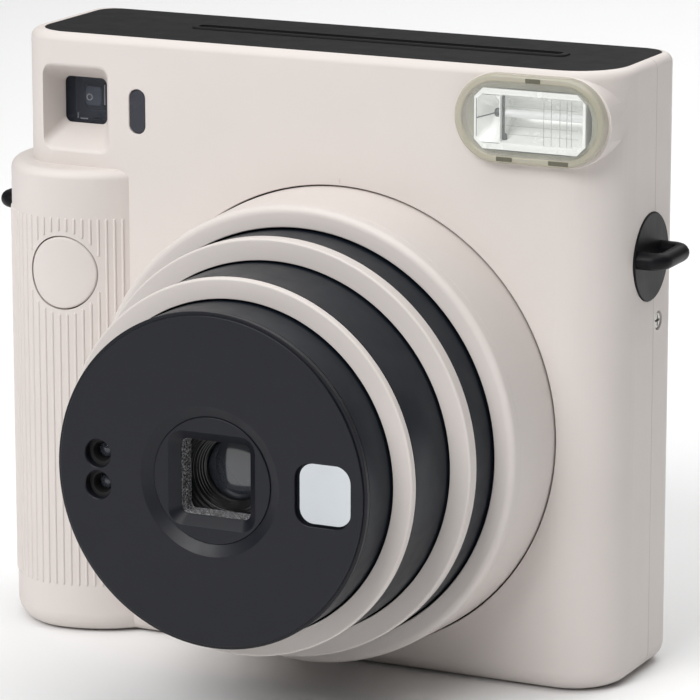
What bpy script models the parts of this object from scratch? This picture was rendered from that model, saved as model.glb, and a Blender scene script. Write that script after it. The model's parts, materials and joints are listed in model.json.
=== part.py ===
"""Instant camera for square prints, lens drawn out: one object for each real piece.

Lengths are millimetres and become metres when a mesh is made. The origin is the centre of the
base, +X is the side of the flash, -Y is the side of the lens and +Z is up. A depth is counted
from the front face, so a negative depth stands in front of it.
"""

import math

import bmesh
import bpy
from mathutils import Vector

MM = 0.001
MERGE = 0.0005

# Body
BODY_LEFT = -59.7
BODY_RIGHT = 65.35
BODY_HEIGHT = 118.6
BODY_DEPTH = 33.3
FRONT = -BODY_DEPTH / 2
WALL = 2.2
ROOF = 3.0
GAP = 0.3
SPLIT = 20.7            # depth of the parting line between front and back shell
BASE_EDGE = 4.0
ROOF_EDGE = 1.8
CORNERS = (12.0, 4.0, 4.0, 8.0)     # front right, back right, back left, front left
FAR = 200.0
FINE_STEPS = 48         # facets round the power ring and its hole
ROUND_STEPS = 40        # facets round the tubes behind it

# Grip
GRIP_LEFT = -65.35
GRIP_RIGHT = -36.26
GRIP_TOP = 92.8
GRIP_EDGE = 3.0
GRIP_PEAK_X = -51.5
GRIP_ARC = 23.1
GRIP_ARC_DEPTH = 17.36
GRIP_SIDE_DEPTH = 12.0
GRIP_ROUNDNESS = 1.9

# Lens, all turned about one axis
LENS_X = 9.55
LENS_Z = 48.7
RING_R = 44.6
RING_BORE = 42.7
RING_LIP_R = 40.16
RING_FRONT = -16.9
FRONT_HOLE_R = 44.9
STAGE_1_R = 39.5
STAGE_2_R = 35.3
STAGE_3_R = 31.2
CAP_1 = (-27.2, -24.4)
CAP_2 = (-42.75, -41.2)
DISC_FRONT = -53.3
DISC_R = 31.27
TUBE_WALL = 1.6

# Film
FILM_X = (-30.45, 49.55)
FILM_Z = (8.0, 100.0)
FILM_DEPTH = (9.7, 28.7)
IMAGE = 62.5
SLOT_X = (-28.6, 47.7)
SLOT_DEPTH = (15.9, 18.5)
ROLLER_R = 4.0
ROLLER_Z = 107.0
ROLLER_DEPTHS = (13.0, 21.4)
GEAR_X = (53.4, 56.4)
GEAR_MODULE = 0.6
WORM_RIDGES = 3
WORM_PITCH = math.pi * GEAR_MODULE

# Controls
BUTTON_X = -47.3
BUTTON_Z = 72.55
BUTTON_R = 7.1
LUG_DEPTH = 18.8
LUG_Z = 81.5
LUG_R = 8.4

# Hinges and doors
DOOR_X = (-33.1, 56.1)
DOOR_Z = (6.4, 103.6)
DOOR_AXIS = (59.5, 31.5)
DOOR_KNUCKLES = ((14.4, 25.6), (74.4, 85.6))
HATCH_DEPTH = (10.5, 27.3)
HATCH_Z = (10.3, 69.7)
HATCH_AXIS = (-64.0, 29.6)
HATCH_KNUCKLES = ((15.3, 20.7), (59.3, 64.7))

# Batteries
CELL_R = 7.8
CELL_X = -53.6
CELL_DEPTH = 18.9
CELL_SPANS = ((12.0, 39.0), (41.0, 68.0))


def clear_scene():
    for item in list(bpy.data.objects):
        bpy.data.objects.remove(item, do_unlink=True)


def material(name, colour, roughness, metallic=0.0, alpha=1.0):
    made = bpy.data.materials.get(name)
    if made:
        return made
    made = bpy.data.materials.new(name)
    made.use_nodes = True
    shader = made.node_tree.nodes["Principled BSDF"]
    shader.inputs["Base Color"].default_value = (*colour, 1.0)
    shader.inputs["Roughness"].default_value = roughness
    shader.inputs["Metallic"].default_value = metallic
    shader.inputs["Alpha"].default_value = alpha
    return made


CREAM = ("cream_plastic", (0.72, 0.67, 0.61), 0.45)
BLACK = ("black_plastic", (0.035, 0.036, 0.04), 0.5)
BARREL = ("barrel_plastic", (0.03, 0.034, 0.042), 0.35)
INNER = ("inner_plastic", (0.05, 0.05, 0.055), 0.6)
WHITE = ("white_plastic", (0.75, 0.75, 0.73), 0.5)
CLEAR = ("clear_plastic", (0.85, 0.86, 0.8), 0.08, 0.0, 0.35)
GLASS = ("lens_glass", (0.6, 0.68, 0.75), 0.02, 0.0, 0.35)
MIRROR = ("mirror_coat", (0.85, 0.87, 0.9), 0.04, 1.0)
STEEL = ("steel", (0.6, 0.6, 0.6), 0.3, 1.0)
BRASS = ("brass", (0.75, 0.6, 0.3), 0.35, 1.0)
BOARD = ("circuit_board", (0.03, 0.2, 0.08), 0.5)
CELL = ("cell_sleeve", (0.12, 0.2, 0.45), 0.4)


def depth(value):
    return FRONT + value


def keep(name, work, finish):
    """Turns a millimetre bmesh into a named object with a material."""
    bmesh.ops.remove_doubles(work, verts=work.verts, dist=MERGE)
    bmesh.ops.recalc_face_normals(work, faces=work.faces)
    bmesh.ops.scale(work, vec=Vector((MM, MM, MM)), verts=work.verts)
    mesh = bpy.data.meshes.new(name)
    work.to_mesh(mesh)
    work.free()
    mesh.shade_smooth()
    mesh.set_sharp_from_angle(angle=math.radians(35))
    made = bpy.data.objects.new(name, mesh)
    bpy.context.scene.collection.objects.link(made)
    if finish:
        mesh.materials.append(material(*finish))
    return made


def loft(name, sections, finish=None):
    """A closed body through loops of points that all have the same count."""
    work = bmesh.new()
    loops = [[work.verts.new(point) for point in section] for section in sections]
    count = len(loops[0])
    for lower, upper in zip(loops, loops[1:]):
        for i in range(count):
            j = (i + 1) % count
            work.faces.new((lower[i], lower[j], upper[j], upper[i]))
    work.faces.new(loops[0])
    work.faces.new(loops[-1])
    return keep(name, work, finish)


def prism(name, outline, axis, low, high, finish=None):
    """An outline in the plane across an axis, drawn out along it."""
    place = {
        "x": lambda u, v, t: (t, u, v),
        "y": lambda u, v, t: (u, t, v),
        "z": lambda u, v, t: (u, v, t),
    }[axis]
    return loft(name, [[place(u, v, t) for u, v in outline] for t in (low, high)], finish)


def box(name, xs, depths, zs, finish=None):
    outline = [(xs[0], zs[0]), (xs[1], zs[0]), (xs[1], zs[1]), (xs[0], zs[1])]
    return prism(name, outline, "y", depth(depths[0]), depth(depths[1]), finish)


def lathe(name, profile, centre=(LENS_X, LENS_Z), steps=ROUND_STEPS, finish=None):
    """A profile of (radius, depth) points turned about a front-to-back axis."""
    work = bmesh.new()
    points = [work.verts.new((centre[0] + r, depth(d), centre[1])) for r, d in profile]
    ends_on_axis = profile[0][0] == 0 and profile[-1][0] == 0
    pairs = list(zip(points, points[1:]))
    if not ends_on_axis:
        pairs.append((points[-1], points[0]))
    edges = [work.edges.new(pair) for pair in pairs]
    bmesh.ops.spin(
        work, geom=points + edges, cent=(centre[0], 0, centre[1]), axis=(0, 1, 0),
        angle=2 * math.pi, steps=steps, use_merge=True,
    )
    return keep(name, work, finish)


def circle(radius, centre=(0, 0), steps=32):
    turns = [2 * math.pi * i / steps for i in range(steps)]
    return [(centre[0] + radius * math.cos(a), centre[1] + radius * math.sin(a)) for a in turns]


def rod(name, axis, centre, radius, span, finish=None, steps=32):
    return prism(name, circle(radius, centre, steps), axis, span[0], span[1], finish)


def rounded(us, vs, radii, steps=5):
    """A rectangle with its own radius at each corner: (high u, low v) first, then round."""
    if not isinstance(radii, tuple):
        radii = (radii,) * 4
    signs = ((1, -1, -90), (1, 1, 0), (-1, 1, 90), (-1, -1, 180))
    points = []
    for radius, (su, sv, start) in zip(radii, signs):
        cu = (us[1] - radius) if su > 0 else (us[0] + radius)
        cv = (vs[1] - radius) if sv > 0 else (vs[0] + radius)
        for i in range(steps + 1):
            a = math.radians(start + 90 * i / steps)
            points.append((cu + radius * math.cos(a), cv + radius * math.sin(a)))
    return points


def rounded_box(name, xs, depths, zs, radius, finish=None):
    return prism(name, rounded(xs, zs, radius), "y", depth(depths[0]), depth(depths[1]), finish)


def edge_steps(radius, steps=3):
    """(inset, rise) along a quarter round that starts flat on the end face."""
    turns = [math.pi / 2 * i / steps for i in range(steps + 1)]
    return [(radius * (1 - math.sin(a)), radius * (1 - math.cos(a))) for a in turns]


def body_outline(inset):
    radii = tuple(max(radius - inset, 0.4) for radius in CORNERS)
    xs = (BODY_LEFT + inset, BODY_RIGHT - inset)
    return rounded(xs, (depth(inset), depth(BODY_DEPTH - inset)), radii, steps=5)


def grip_outline(inset, right=GRIP_RIGHT):
    """The grip from above: a broad arc in front, a quarter oval to the side, a small back corner."""
    arc = GRIP_ARC - inset
    end = math.acos(min((right - GRIP_PEAK_X) / arc, 1.0))
    points = []
    for i in range(7):
        a = end + (math.pi / 2 - end) * i / 6
        points.append((GRIP_PEAK_X + arc * math.cos(a), depth(GRIP_ARC_DEPTH - arc * math.sin(a))))
    across = GRIP_PEAK_X - GRIP_LEFT - inset
    along = GRIP_ARC - GRIP_ARC_DEPTH + GRIP_SIDE_DEPTH - inset
    power = 2 / GRIP_ROUNDNESS
    for i in range(1, 9):
        a = math.pi / 2 * i / 8
        x = GRIP_PEAK_X - across * math.sin(a) ** power
        points.append((x, depth(GRIP_SIDE_DEPTH - along * max(math.cos(a), 0.0) ** power)))
    radius = CORNERS[2] - min(inset, 3.6)
    for i in range(5):
        a = math.pi / 2 * i / 4
        x = GRIP_LEFT + inset + radius * (1 - math.cos(a))
        points.append((x, depth(BODY_DEPTH - inset - radius * (1 - math.sin(a)))))
    points.append((right, depth(BODY_DEPTH - inset)))
    return points


def upright(name, outline, low, high, low_edge, high_edge, inset=0.0, finish=None):
    """An outline drawn up from low to high with rounded lower and upper edges."""
    levels = [(low + rise, inset + extra) for extra, rise in edge_steps(low_edge)]
    levels += [(high - rise, inset + extra) for extra, rise in reversed(edge_steps(high_edge))]
    return loft(name, [[(x, y, z) for x, y in outline(i)] for z, i in levels], finish)


def hide(helper):
    helper.hide_render = True
    helper.display_type = "WIRE"


def combine(target, operation, *helpers):
    for helper in helpers:
        step = target.modifiers.new(helper.name, "BOOLEAN")
        step.operation = operation
        step.solver = "EXACT"
        step.object = helper
        hide(helper)
    return target


def cut(target, *cutters):
    return combine(target, "DIFFERENCE", *cutters)


def join(target, *extras):
    return combine(target, "UNION", *extras)


def pivot(name, x, y, z, *pieces):
    """An empty on a joint's axis that carries the joint's pieces."""
    empty = bpy.data.objects.new(name, None)
    empty.location = (x * MM, y * MM, z * MM)
    bpy.context.scene.collection.objects.link(empty)
    for piece in pieces:
        piece.parent = empty
        piece.location = -empty.location
    return empty


def body_solid(name, finish=None):
    return upright(name, body_outline, 0.0, BODY_HEIGHT, BASE_EDGE, ROOF_EDGE, finish=finish)


def body_hollow(name):
    return upright(name, body_outline, WALL, BODY_HEIGHT - ROOF, 1.8, 0.4, inset=WALL)


def grip_solid(name, finish=None):
    return upright(name, grip_outline, 0.0, GRIP_TOP, BASE_EDGE, GRIP_EDGE, finish=finish)


def grip_hollow(name):
    def outline(inset):
        return grip_outline(inset, GRIP_RIGHT + 1.5)

    return upright(name, outline, WALL, GRIP_TOP - WALL, 1.8, 0.8, inset=WALL)


def lug_hole(name, side):
    span = (BODY_RIGHT - 6, BODY_RIGHT + 4) if side > 0 else (GRIP_LEFT - 4, GRIP_LEFT + 6)
    return rod(name, "x", (depth(LUG_DEPTH), LUG_Z), LUG_R + GAP, span)


def hatch_opening(name):
    return box(name, (GRIP_LEFT - 3, GRIP_LEFT + 3.2), (HATCH_DEPTH[0] - GAP, 28.0),
               (HATCH_Z[0] - GAP, HATCH_Z[1] + GAP))


def roof_pocket(name):
    outline = rounded((-57.3, 64.4), (depth(1.3), depth(32.3)), (10.3, 2.3, 2.3, 7.3))
    return prism(name, outline, "z", BODY_HEIGHT - 1.6, BODY_HEIGHT + 4)


def film_slot(name):
    outline = rounded(SLOT_X, (depth(SLOT_DEPTH[0]), depth(SLOT_DEPTH[1])), 1.0)
    return prism(name, outline, "z", BODY_HEIGHT - 8, BODY_HEIGHT + 4)


def build_front_shell():
    shell = body_solid("front_shell", CREAM)
    boss_xs = (33.4, 64.9)
    boss_zs = (100.6, 117.3)
    boss = rounded_box("flash_boss", boss_xs, (-0.8, 11.0), boss_zs, 8.2)
    join(shell, boss)
    hollow = body_hollow("front_hollow")
    cut(hollow, rounded_box("flash_tunnel", boss_xs, (-2.0, 6.8), boss_zs, 8.2))
    cut(hollow, box("finder_block", (-59.0, -38.4), (-2.0, 6.6), (93.6, 114.2)))
    cut(shell, hollow)
    cut(shell, box("behind_split", (-FAR, FAR), (SPLIT - GAP / 2, FAR), (-FAR, FAR)))
    cut(shell, box("grip_room", (-FAR, GRIP_RIGHT + GAP), (-FAR, FAR), (-FAR, GRIP_TOP + GAP)))
    cut(shell, lathe("lens_hole", [(0, -5), (FRONT_HOLE_R, -5), (FRONT_HOLE_R, 8), (0, 8)],
                      steps=FINE_STEPS))
    funnel = [
        [(x, depth(-0.9), z) for x, z in rounded((-55.5, -40.0), (94.8, 113.2), 2.2)],
        [(x, depth(6.0), z) for x, z in rounded((-53.0, -43.9), (100.4, 108.9), 1.3)],
    ]
    cut(shell, loft("finder_funnel", funnel))
    cut(shell, rounded_box("finder_window_hole", (-53.0, -43.9), (5.0, 8.0), (100.4, 108.9), 1.3))
    cut(shell, rounded_box("light_sensor_hole", (-35.7, -32.2), (-2.0, 4.0), (100.0, 108.7), 1.7))
    cut(shell, rounded_box("flash_hole", (36.8, 62.4), (-3.0, 9.0), (102.6, 115.4), 6.2))
    cut(shell, roof_pocket("roof_pocket"), film_slot("film_slot"), lug_hole("right_lug_hole", 1))


def build_grip_cover():
    cover = grip_solid("grip_cover", CREAM)
    cut(cover, grip_hollow("grip_front_hollow"))
    cut(cover, box("grip_behind_split", (-FAR, FAR), (SPLIT - GAP / 2, FAR), (-FAR, FAR)))
    cut(cover, box("grip_shelf_room", (-57.2, 0), (2.4, FAR), (20.0, FAR)))
    cut(cover, rod("button_hole", "y", (BUTTON_X, BUTTON_Z), BUTTON_R + GAP,
                   (depth(-9), depth(2)), steps=40))
    cut(cover, hatch_opening("grip_hatch_opening"), lug_hole("left_lug_hole", -1))


def hinge_cut(name, centre, radius, span):
    return rod(name, "z", (centre[0], depth(centre[1])), radius, span, steps=20)


def build_back_shell():
    shell = body_solid("back_shell", CREAM)
    join(shell, grip_solid("back_grip"))
    cut(shell, box("ahead_of_split", (-FAR, FAR), (-FAR, SPLIT + GAP / 2), (-FAR, FAR)))
    hollow = body_hollow("back_hollow")
    grip_room = grip_hollow("back_grip_hollow")
    for i, (low, high) in enumerate(DOOR_KNUCKLES):
        cut(hollow, box(f"door_rail_{i}", (57.2, 70), (28.6, 40), (low - 5.4, high + 5.4)))
    for i, (low, high) in enumerate(HATCH_KNUCKLES):
        cut(grip_room, box(f"hatch_rail_{i}", (-70, -60.5), (28.1, 31.4), (low - 3.4, high + 3.4)))
    cut(shell, hollow, grip_room)
    cut(shell, rounded_box("door_opening", (-33.5, 57.0), (28.0, 40), (6.0, 104.0), 2.6))
    for i, (low, high) in enumerate(DOOR_KNUCKLES):
        cut(shell, box(f"door_notch_{i}", (56.4, 61.8), (29.3, 40), (low - 0.4, high + 0.4)))
        cut(shell, hinge_cut(f"door_bore_{i}", DOOR_AXIS, 1.1, (low - 4.0, high + 4.0)))
    for i, (low, high) in enumerate(HATCH_KNUCKLES):
        cut(shell, box(f"hatch_notch_{i}", (-70, -62.4), (27.5, 31.1), (low - 0.3, high + 0.3)))
        cut(shell, hinge_cut(f"hatch_bore_{i}", HATCH_AXIS, 0.85, (low - 2.4, high + 2.4)))
    cut(shell, rounded_box("eyepiece_hole", (-54.6, -42.3), (29.0, 40), (98.9, 110.5), 2.0))
    cut(shell, rounded_box("latch_slot", (-43.5, -37.5), (28.0, 40), (39.3, 57.0), 1.0))
    cut(shell, rounded_box("counter_hole", (-45.0, -38.0), (28.0, 40), (15.5, 21.0), 1.0))
    cut(shell, hatch_opening("hatch_opening"), lug_hole("right_lug_back", 1))
    cut(shell, lug_hole("left_lug_back", -1), roof_pocket("back_roof_pocket"))
    screw_axis = (depth(23.2), 68.4)
    cut(shell, rod("side_screw_hole", "x", screw_axis, 1.9, (60, 70), steps=20))


def build_top_panel():
    outline = rounded((-57.0, 64.1), (depth(1.6), depth(32.0)), (10.0, 2.0, 2.0, 7.0))
    panel = prism("top_panel", outline, "z", BODY_HEIGHT - 1.3, BODY_HEIGHT + 0.1, BLACK)
    rim = rounded((-29.8, 48.9), (depth(15.0), depth(19.4)), 1.6)
    join(panel, prism("slot_rim", rim, "z", BODY_HEIGHT - 0.6, BODY_HEIGHT + 0.4))
    cut(panel, film_slot("panel_slot"))


def build_side_screw():
    head = rod("side_screw", "x", (depth(23.2), 68.4), 1.6, (60.8, BODY_RIGHT - 0.2), STEEL, 20)
    half = 0.22
    for i, (w, h) in enumerate(((1.1, half), (half, 1.1))):
        slot = box(f"screw_slot_{i}", (BODY_RIGHT - 0.9, 70), (23.2 - w, 23.2 + w),
                   (68.4 - h, 68.4 + h))
        cut(head, slot)


def build_strap_lug(name, side):
    """A disc set into the side wall with a bar bent into a loop for the strap."""
    face = BODY_RIGHT if side > 0 else GRIP_LEFT
    disc = rod(name, "x", (depth(LUG_DEPTH), LUG_Z), LUG_R,
               (face - 2.4 * side, face + 0.3 * side), BLACK, 40)
    reach = 4.65
    bend = 2.6
    route = [(-0.6, 12.6)]
    for i in range(5):
        a = math.pi / 2 * i / 4
        route.append((reach - bend + bend * math.sin(a), 12.6 + bend - bend * math.cos(a)))
    route += [(x, 12.6 + 23.9 - d) for x, d in reversed(route)]
    data = bpy.data.curves.new(name + "_loop", "CURVE")
    data.dimensions = "3D"
    data.bevel_depth = 1.65 * MM
    data.bevel_resolution = 2
    data.use_fill_caps = True
    line = data.splines.new("POLY")
    line.points.add(len(route) - 1)
    for point, (out, d) in zip(line.points, route):
        point.co = ((face + out * side) * MM, depth(d) * MM, LUG_Z * MM, 1)
    bar = bpy.data.objects.new(name + "_bar_curve", data)
    bpy.context.scene.collection.objects.link(bar)
    hide(bar)
    graph = bpy.context.evaluated_depsgraph_get()
    mesh = bpy.data.meshes.new_from_object(bar.evaluated_get(graph))
    solid = bpy.data.objects.new(name + "_bar", mesh)
    bpy.context.scene.collection.objects.link(solid)
    join(disc, solid)


def build_power_ring():
    round_edge = [(RING_R - i, RING_FRONT + r) for i, r in edge_steps(1.8)]
    profile = [(RING_BORE, 1.2), (RING_R, 1.2)] + round_edge[::-1]
    profile += [(RING_LIP_R, RING_FRONT), (RING_LIP_R, RING_FRONT + 1.5), (RING_BORE, RING_FRONT + 1.5)]
    return lathe("power_ring", profile, steps=FINE_STEPS, finish=CREAM)


def build_lens_sleeve():
    sleeve = lathe("lens_sleeve", [(39.9, -15.1), (42.3, -15.1), (42.3, 6.6), (39.9, 6.6)],
                   steps=ROUND_STEPS, finish=INNER)
    plate = rounded_box("sleeve_plate", (-34.4, 54.6), (2.6, 4.2), (3.6, 96.0), 3.0)
    cut(plate, lathe("sleeve_bore", [(0, -3), (41.0, -3), (41.0, 9), (0, 9)], steps=ROUND_STEPS))
    join(sleeve, plate)


def stage(name, outer, front, back, flange_r, lip_r):
    """A drawn tube with a stop flange behind and, for the next tube, a lip in front."""
    inner = outer - TUBE_WALL
    profile = [(outer, front), (outer, back - 1.5), (flange_r, back - 1.5), (flange_r, back),
               (inner, back)]
    if lip_r:
        profile += [(inner, front + 1.2), (lip_r, front + 1.2), (lip_r, front)]
    else:
        profile += [(inner, front)]
    lathe(name, profile, steps=ROUND_STEPS, finish=BARREL)


def build_caps():
    for name, outer, inner, (front, back), edge in (
        ("barrel_cap_1", 39.7, 35.62, CAP_1, 1.6),
        ("barrel_cap_2", 35.37, 31.53, CAP_2, 0.9),
    ):
        round_edge = [(outer - i, front + r) for i, r in edge_steps(edge, 2)]
        lathe(name, [(inner, front)] + round_edge + [(outer, back), (inner, back)],
              steps=ROUND_STEPS, finish=CREAM)


def build_front_disc():
    back = DISC_FRONT + 1.5
    profile = [(DISC_R, back), (DISC_R, DISC_FRONT + 0.4), (DISC_R - 0.4, DISC_FRONT),
               (14.0, DISC_FRONT), (11.8, DISC_FRONT + 1.0), (11.8, back)]
    disc = lathe("front_disc", profile, steps=ROUND_STEPS, finish=BLACK)
    cut(disc, rounded_box("mirror_seat", (26.9, 38.3), (-60, DISC_FRONT + 0.9), (42.6, 55.0), 3.3))
    for i, z in enumerate((51.5, 45.6)):
        cut(disc, rod(f"light_cell_hole_{i}", "y", (-13.3, z), 2.6, (depth(-60), depth(-50)), steps=24))


def build_light_cell(name, z):
    profile = [(0, -48.4), (2.7, -48.4), (2.7, -51.5), (1.9, -51.5), (1.9, -49.4), (0, -49.4)]
    lathe(name, profile, centre=(-13.3, z), steps=24, finish=INNER)


def build_lens_frame():
    frame = lathe("lens_frame", [(0, -52.4), (11.5, -52.4), (11.5, -49.6), (0, -49.6)],
                  steps=32, finish=BLACK)
    hole = []
    for d, half, radius in ((-53.0, 9.35, 2.2), (-50.2, 7.1, 1.4), (-48.0, 7.1, 1.4)):
        us = (LENS_X - half, LENS_X + half)
        vs = (LENS_Z - half, LENS_Z + half)
        hole.append([(x, depth(d), z) for x, z in rounded(us, vs, radius)])
    cut(frame, loft("lens_frame_hole", hole))


def build_lens_cell():
    profile = [(10.6, -49.3), (10.6, -38.6), (5.2, -38.6), (5.2, -39.6), (7.2, -39.6),
               (7.2, -46.0), (8.2, -47.0), (8.2, -49.3)]
    lathe("lens_cell", profile, steps=28, finish=INNER)


def build_glass(name, radius, vertex, rim_front, rim_back, tail):
    """A lens element: domed in front and behind, with a short straight rim."""
    def dome(rim, top):
        low = math.cos(1.2)
        return [(radius * math.sin(a), rim + (top - rim) * (math.cos(a) - low) / (1 - low))
                for a in (0.0, 0.3, 0.6, 0.9)]

    rims = [(radius, rim_front), (radius, rim_back)]
    lathe(name, dome(rim_front, vertex) + rims + dome(rim_back, tail)[::-1], steps=24, finish=GLASS)


def build_shutter():
    lathe("shutter_plate", [(3.6, -38.3), (29.2, -38.3), (29.2, -37.5), (3.6, -37.5)],
          steps=32, finish=INNER)
    for name, side, (front, back) in (("shutter_blade_left", -1, (-37.1, -36.7)),
                                      ("shutter_blade_right", 1, (-36.3, -35.9))):
        pin = (LENS_X + 11.5 * side, LENS_Z + 9.3)
        blade = prism(name, blade_outline(pin), "y", depth(front), depth(back), INNER)
        pivot(name + "_axis", pin[0], depth(front), pin[1], blade)


def blade_outline(pin):
    """A small round at the pin and a larger one over the aperture, joined by straight sides."""
    reach = math.dist(pin, (LENS_X, LENS_Z))
    lean = math.atan2(pin[1] - LENS_Z, pin[0] - LENS_X)
    small, large = 2.0, 5.2
    side = math.acos((large - small) / reach)
    points = []
    for i in range(13):
        a = lean + side + (2 * math.pi - 2 * side) * i / 12
        points.append((LENS_X + large * math.cos(a), LENS_Z + large * math.sin(a)))
    for i in range(7):
        a = lean - side + 2 * side * i / 6
        points.append((pin[0] + small * math.cos(a), pin[1] + small * math.sin(a)))
    return points


def gear_outline(teeth, first, centre):
    """Straight-sided teeth, a little thin so that meshing gears never touch."""
    radius = GEAR_MODULE * teeth / 2
    tip, root = radius + 0.38, radius - 0.62
    pitch = 2 * math.pi / teeth
    points = []
    for i in range(teeth):
        middle = first + pitch * i
        for r, share in ((root, -0.30), (tip, -0.12), (tip, 0.12), (root, 0.30)):
            a = middle + share * pitch
            points.append((centre[0] + r * math.cos(a), centre[1] + r * math.sin(a)))
    return points


def gear(name, teeth, first, centre):
    return prism(name, gear_outline(teeth, first, centre), "x", GEAR_X[0], GEAR_X[1], WHITE)


def build_ejector():
    rear = (depth(ROLLER_DEPTHS[1]), ROLLER_Z)
    front = (depth(ROLLER_DEPTHS[0]), ROLLER_Z)
    for name, centre in (("rear_roller", rear), ("front_roller", front)):
        roller = rod(name, "x", centre, ROLLER_R, (-28.0, 47.4), STEEL, 32)
        join(roller, rod(name + "_shaft", "x", centre, 1.4, (-32.0, GEAR_X[1] + 0.8), steps=16))
    for name, first, centre in (("rear_roller_gear", math.pi, rear),
                                ("front_roller_gear", math.pi / 14, front)):
        wheel = gear(name, 14, first, centre)
        cut(wheel, rod(name + "_bore", "x", centre, 1.7, (GEAR_X[0] - 2, GEAR_X[1] + 2), steps=16))
    idler = (rear[0], ROLLER_Z - GEAR_MODULE * 19)
    drive = (rear[0], idler[1] - GEAR_MODULE * 24)
    for name, first, centre in (("idler_gear", math.pi / 2, idler),
                                ("drive_gear", math.pi / 2 + math.pi / 24, drive)):
        wheel = gear(name, 24, first, centre)
        join(wheel, rod(name + "_axle", "x", centre, 1.2, (GEAR_X[0] - 0.8, GEAR_X[1] + 0.7), steps=16))
    bracket = box("roller_bracket", (-30.4, 51.8), (8.7, 26.0), (101.0, 113.6), STEEL)
    cut(bracket, box("roller_room", (-29.0, 50.4), (0, 40), (90, 112.6)))
    cut(bracket, box("bracket_slot", (-29.0, 50.4), (12.0, 22.4), (110, 120)))
    for i, centre in enumerate((rear, front)):
        cut(bracket, rod(f"bracket_hole_{i}", "x", centre, 1.7, (-40, 60), steps=16))
    rod("drive_motor", "z", (54.9, depth(11.25)), 4.5, (42.0, 70.0), STEEL, 32)
    pivot("motor_axis", 54.9, depth(11.25), 70, build_worm(drive[1]))


def build_worm(height):
    """The motor's shaft and worm: a shaft with ridges round it."""
    worm = rod("motor_worm", "z", (54.9, depth(11.25)), 0.8, (70.4, height + 7), BRASS, 16)
    for i in range(WORM_RIDGES):
        low = height - 2.4 + WORM_PITCH * i
        join(worm, rod(f"worm_ridge_{i}", "z", (54.9, depth(11.25)), 2.1, (low, low + 1.0), steps=16))
    return worm


def build_film_parts():
    image_x = (LENS_X - IMAGE / 2, LENS_X + IMAGE / 2)
    image_z = (LENS_Z - IMAGE / 2, LENS_Z + IMAGE / 2)
    frame = rounded_box("film_chamber_frame", (-32.5, 49.9), (7.3, 9.3), (5.0, 100.4), 2.0, INNER)
    cut(frame, box("image_window", image_x, (0, 20), image_z))
    pack = rounded_box("film_cassette", FILM_X, FILM_DEPTH, FILM_Z, 1.5, BLACK)
    cut(pack, box("cassette_window", image_x, (0, FILM_DEPTH[0] + 1.4), image_z))
    cut(pack, box("claw_notch", (-40, -28.4), (9.0, 13.6), (0, 30.0)))
    claw = box("film_claw", (-32.2, -30.9), (10.4, 13.0), (9.0, 40.0), STEEL)
    join(claw, box("claw_hook", (-31.4, -29.2), (10.4, 11.2), (10.0, 12.0)))
    rounded_box("film_pressure_plate", (-12.5, 31.5), (29.1, 30.1), (26.7, 70.7), 3.0, STEEL)


def build_film_door():
    door = rounded_box("film_door", DOOR_X, (31.1, BODY_DEPTH), DOOR_Z, 2.2, CREAM)
    cut(door, rounded_box("pack_window_hole", (5.0, 14.1), (28, 40), (60.0, 82.0), 4.5))
    for i, (low, high) in enumerate(DOOR_KNUCKLES):
        join(door, box(f"door_arm_{i}", (54.5, DOOR_AXIS[0]), (31.3, 33.1), (low, high)))
        join(door, hinge_cut(f"door_knuckle_{i}", DOOR_AXIS, 1.8, (low, high)))
        cut(door, hinge_cut(f"knuckle_bore_{i}", DOOR_AXIS, 1.1, (low - 2, high + 2)))
    join(door, box("door_catch", (-32.9, -31.3), (28.4, 31.6), (48.0, 54.0)))
    window = rounded_box("pack_window", (5.3, 13.8), (31.3, BODY_DEPTH - 0.1), (60.3, 81.7), 4.2, CLEAR)
    pivot("film_door_axis", DOOR_AXIS[0], depth(DOOR_AXIS[1]), 55, door, window)
    names = ("lower_hinge_pin", "upper_hinge_pin")
    for name, (low, high) in zip(names, DOOR_KNUCKLES):
        rod(name, "z", (DOOR_AXIS[0], depth(DOOR_AXIS[1])), 0.8, (low - 3.4, high + 3.4), STEEL, 16)


def build_latch():
    latch = rounded_box("door_latch", (-43.2, -37.8), (30.4, BODY_DEPTH + 0.7), (45.6, 56.6), 0.8, BLACK)
    join(latch, box("latch_flange", (-45.4, -35.6), (29.2, 30.8), (44.4, 58.0)))


def build_battery_parts():
    x, y = CELL_X, depth(CELL_DEPTH)
    names = ("lower_battery", "upper_battery")
    for name, (low, high) in zip(names, CELL_SPANS):
        cell = rod(name, "z", (x, y), CELL_R, (low, high - 1.0), CELL, 36)
        join(cell, rod(name + "_tip", "z", (x, y), 2.8, (high - 2.0, high), steps=20))
    holder = box("battery_holder", (-62.6, -44.4), (9.9, 27.9), (9.4, 70.6), INNER)
    cut(holder, box("battery_room", (-70, -45.4), (10.8, 27.0), (10.4, 69.6)))
    hatch = box("battery_door", (GRIP_LEFT, GRIP_LEFT + 1.9), HATCH_DEPTH, HATCH_Z, CREAM)
    for i, (low, high) in enumerate(HATCH_KNUCKLES):
        join(hatch, box(f"hatch_arm_{i}", (-65.1, -63.6), (26.5, HATCH_AXIS[1]), (low, high)))
        join(hatch, hinge_cut(f"hatch_knuckle_{i}", HATCH_AXIS, 1.2, (low, high)))
        join(hatch, hinge_cut(f"hatch_stub_{i}", HATCH_AXIS, 0.55, (low - 2.0, high + 2.0)))
    pivot("battery_door_axis", HATCH_AXIS[0], depth(HATCH_AXIS[1]), 40, hatch)


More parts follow.
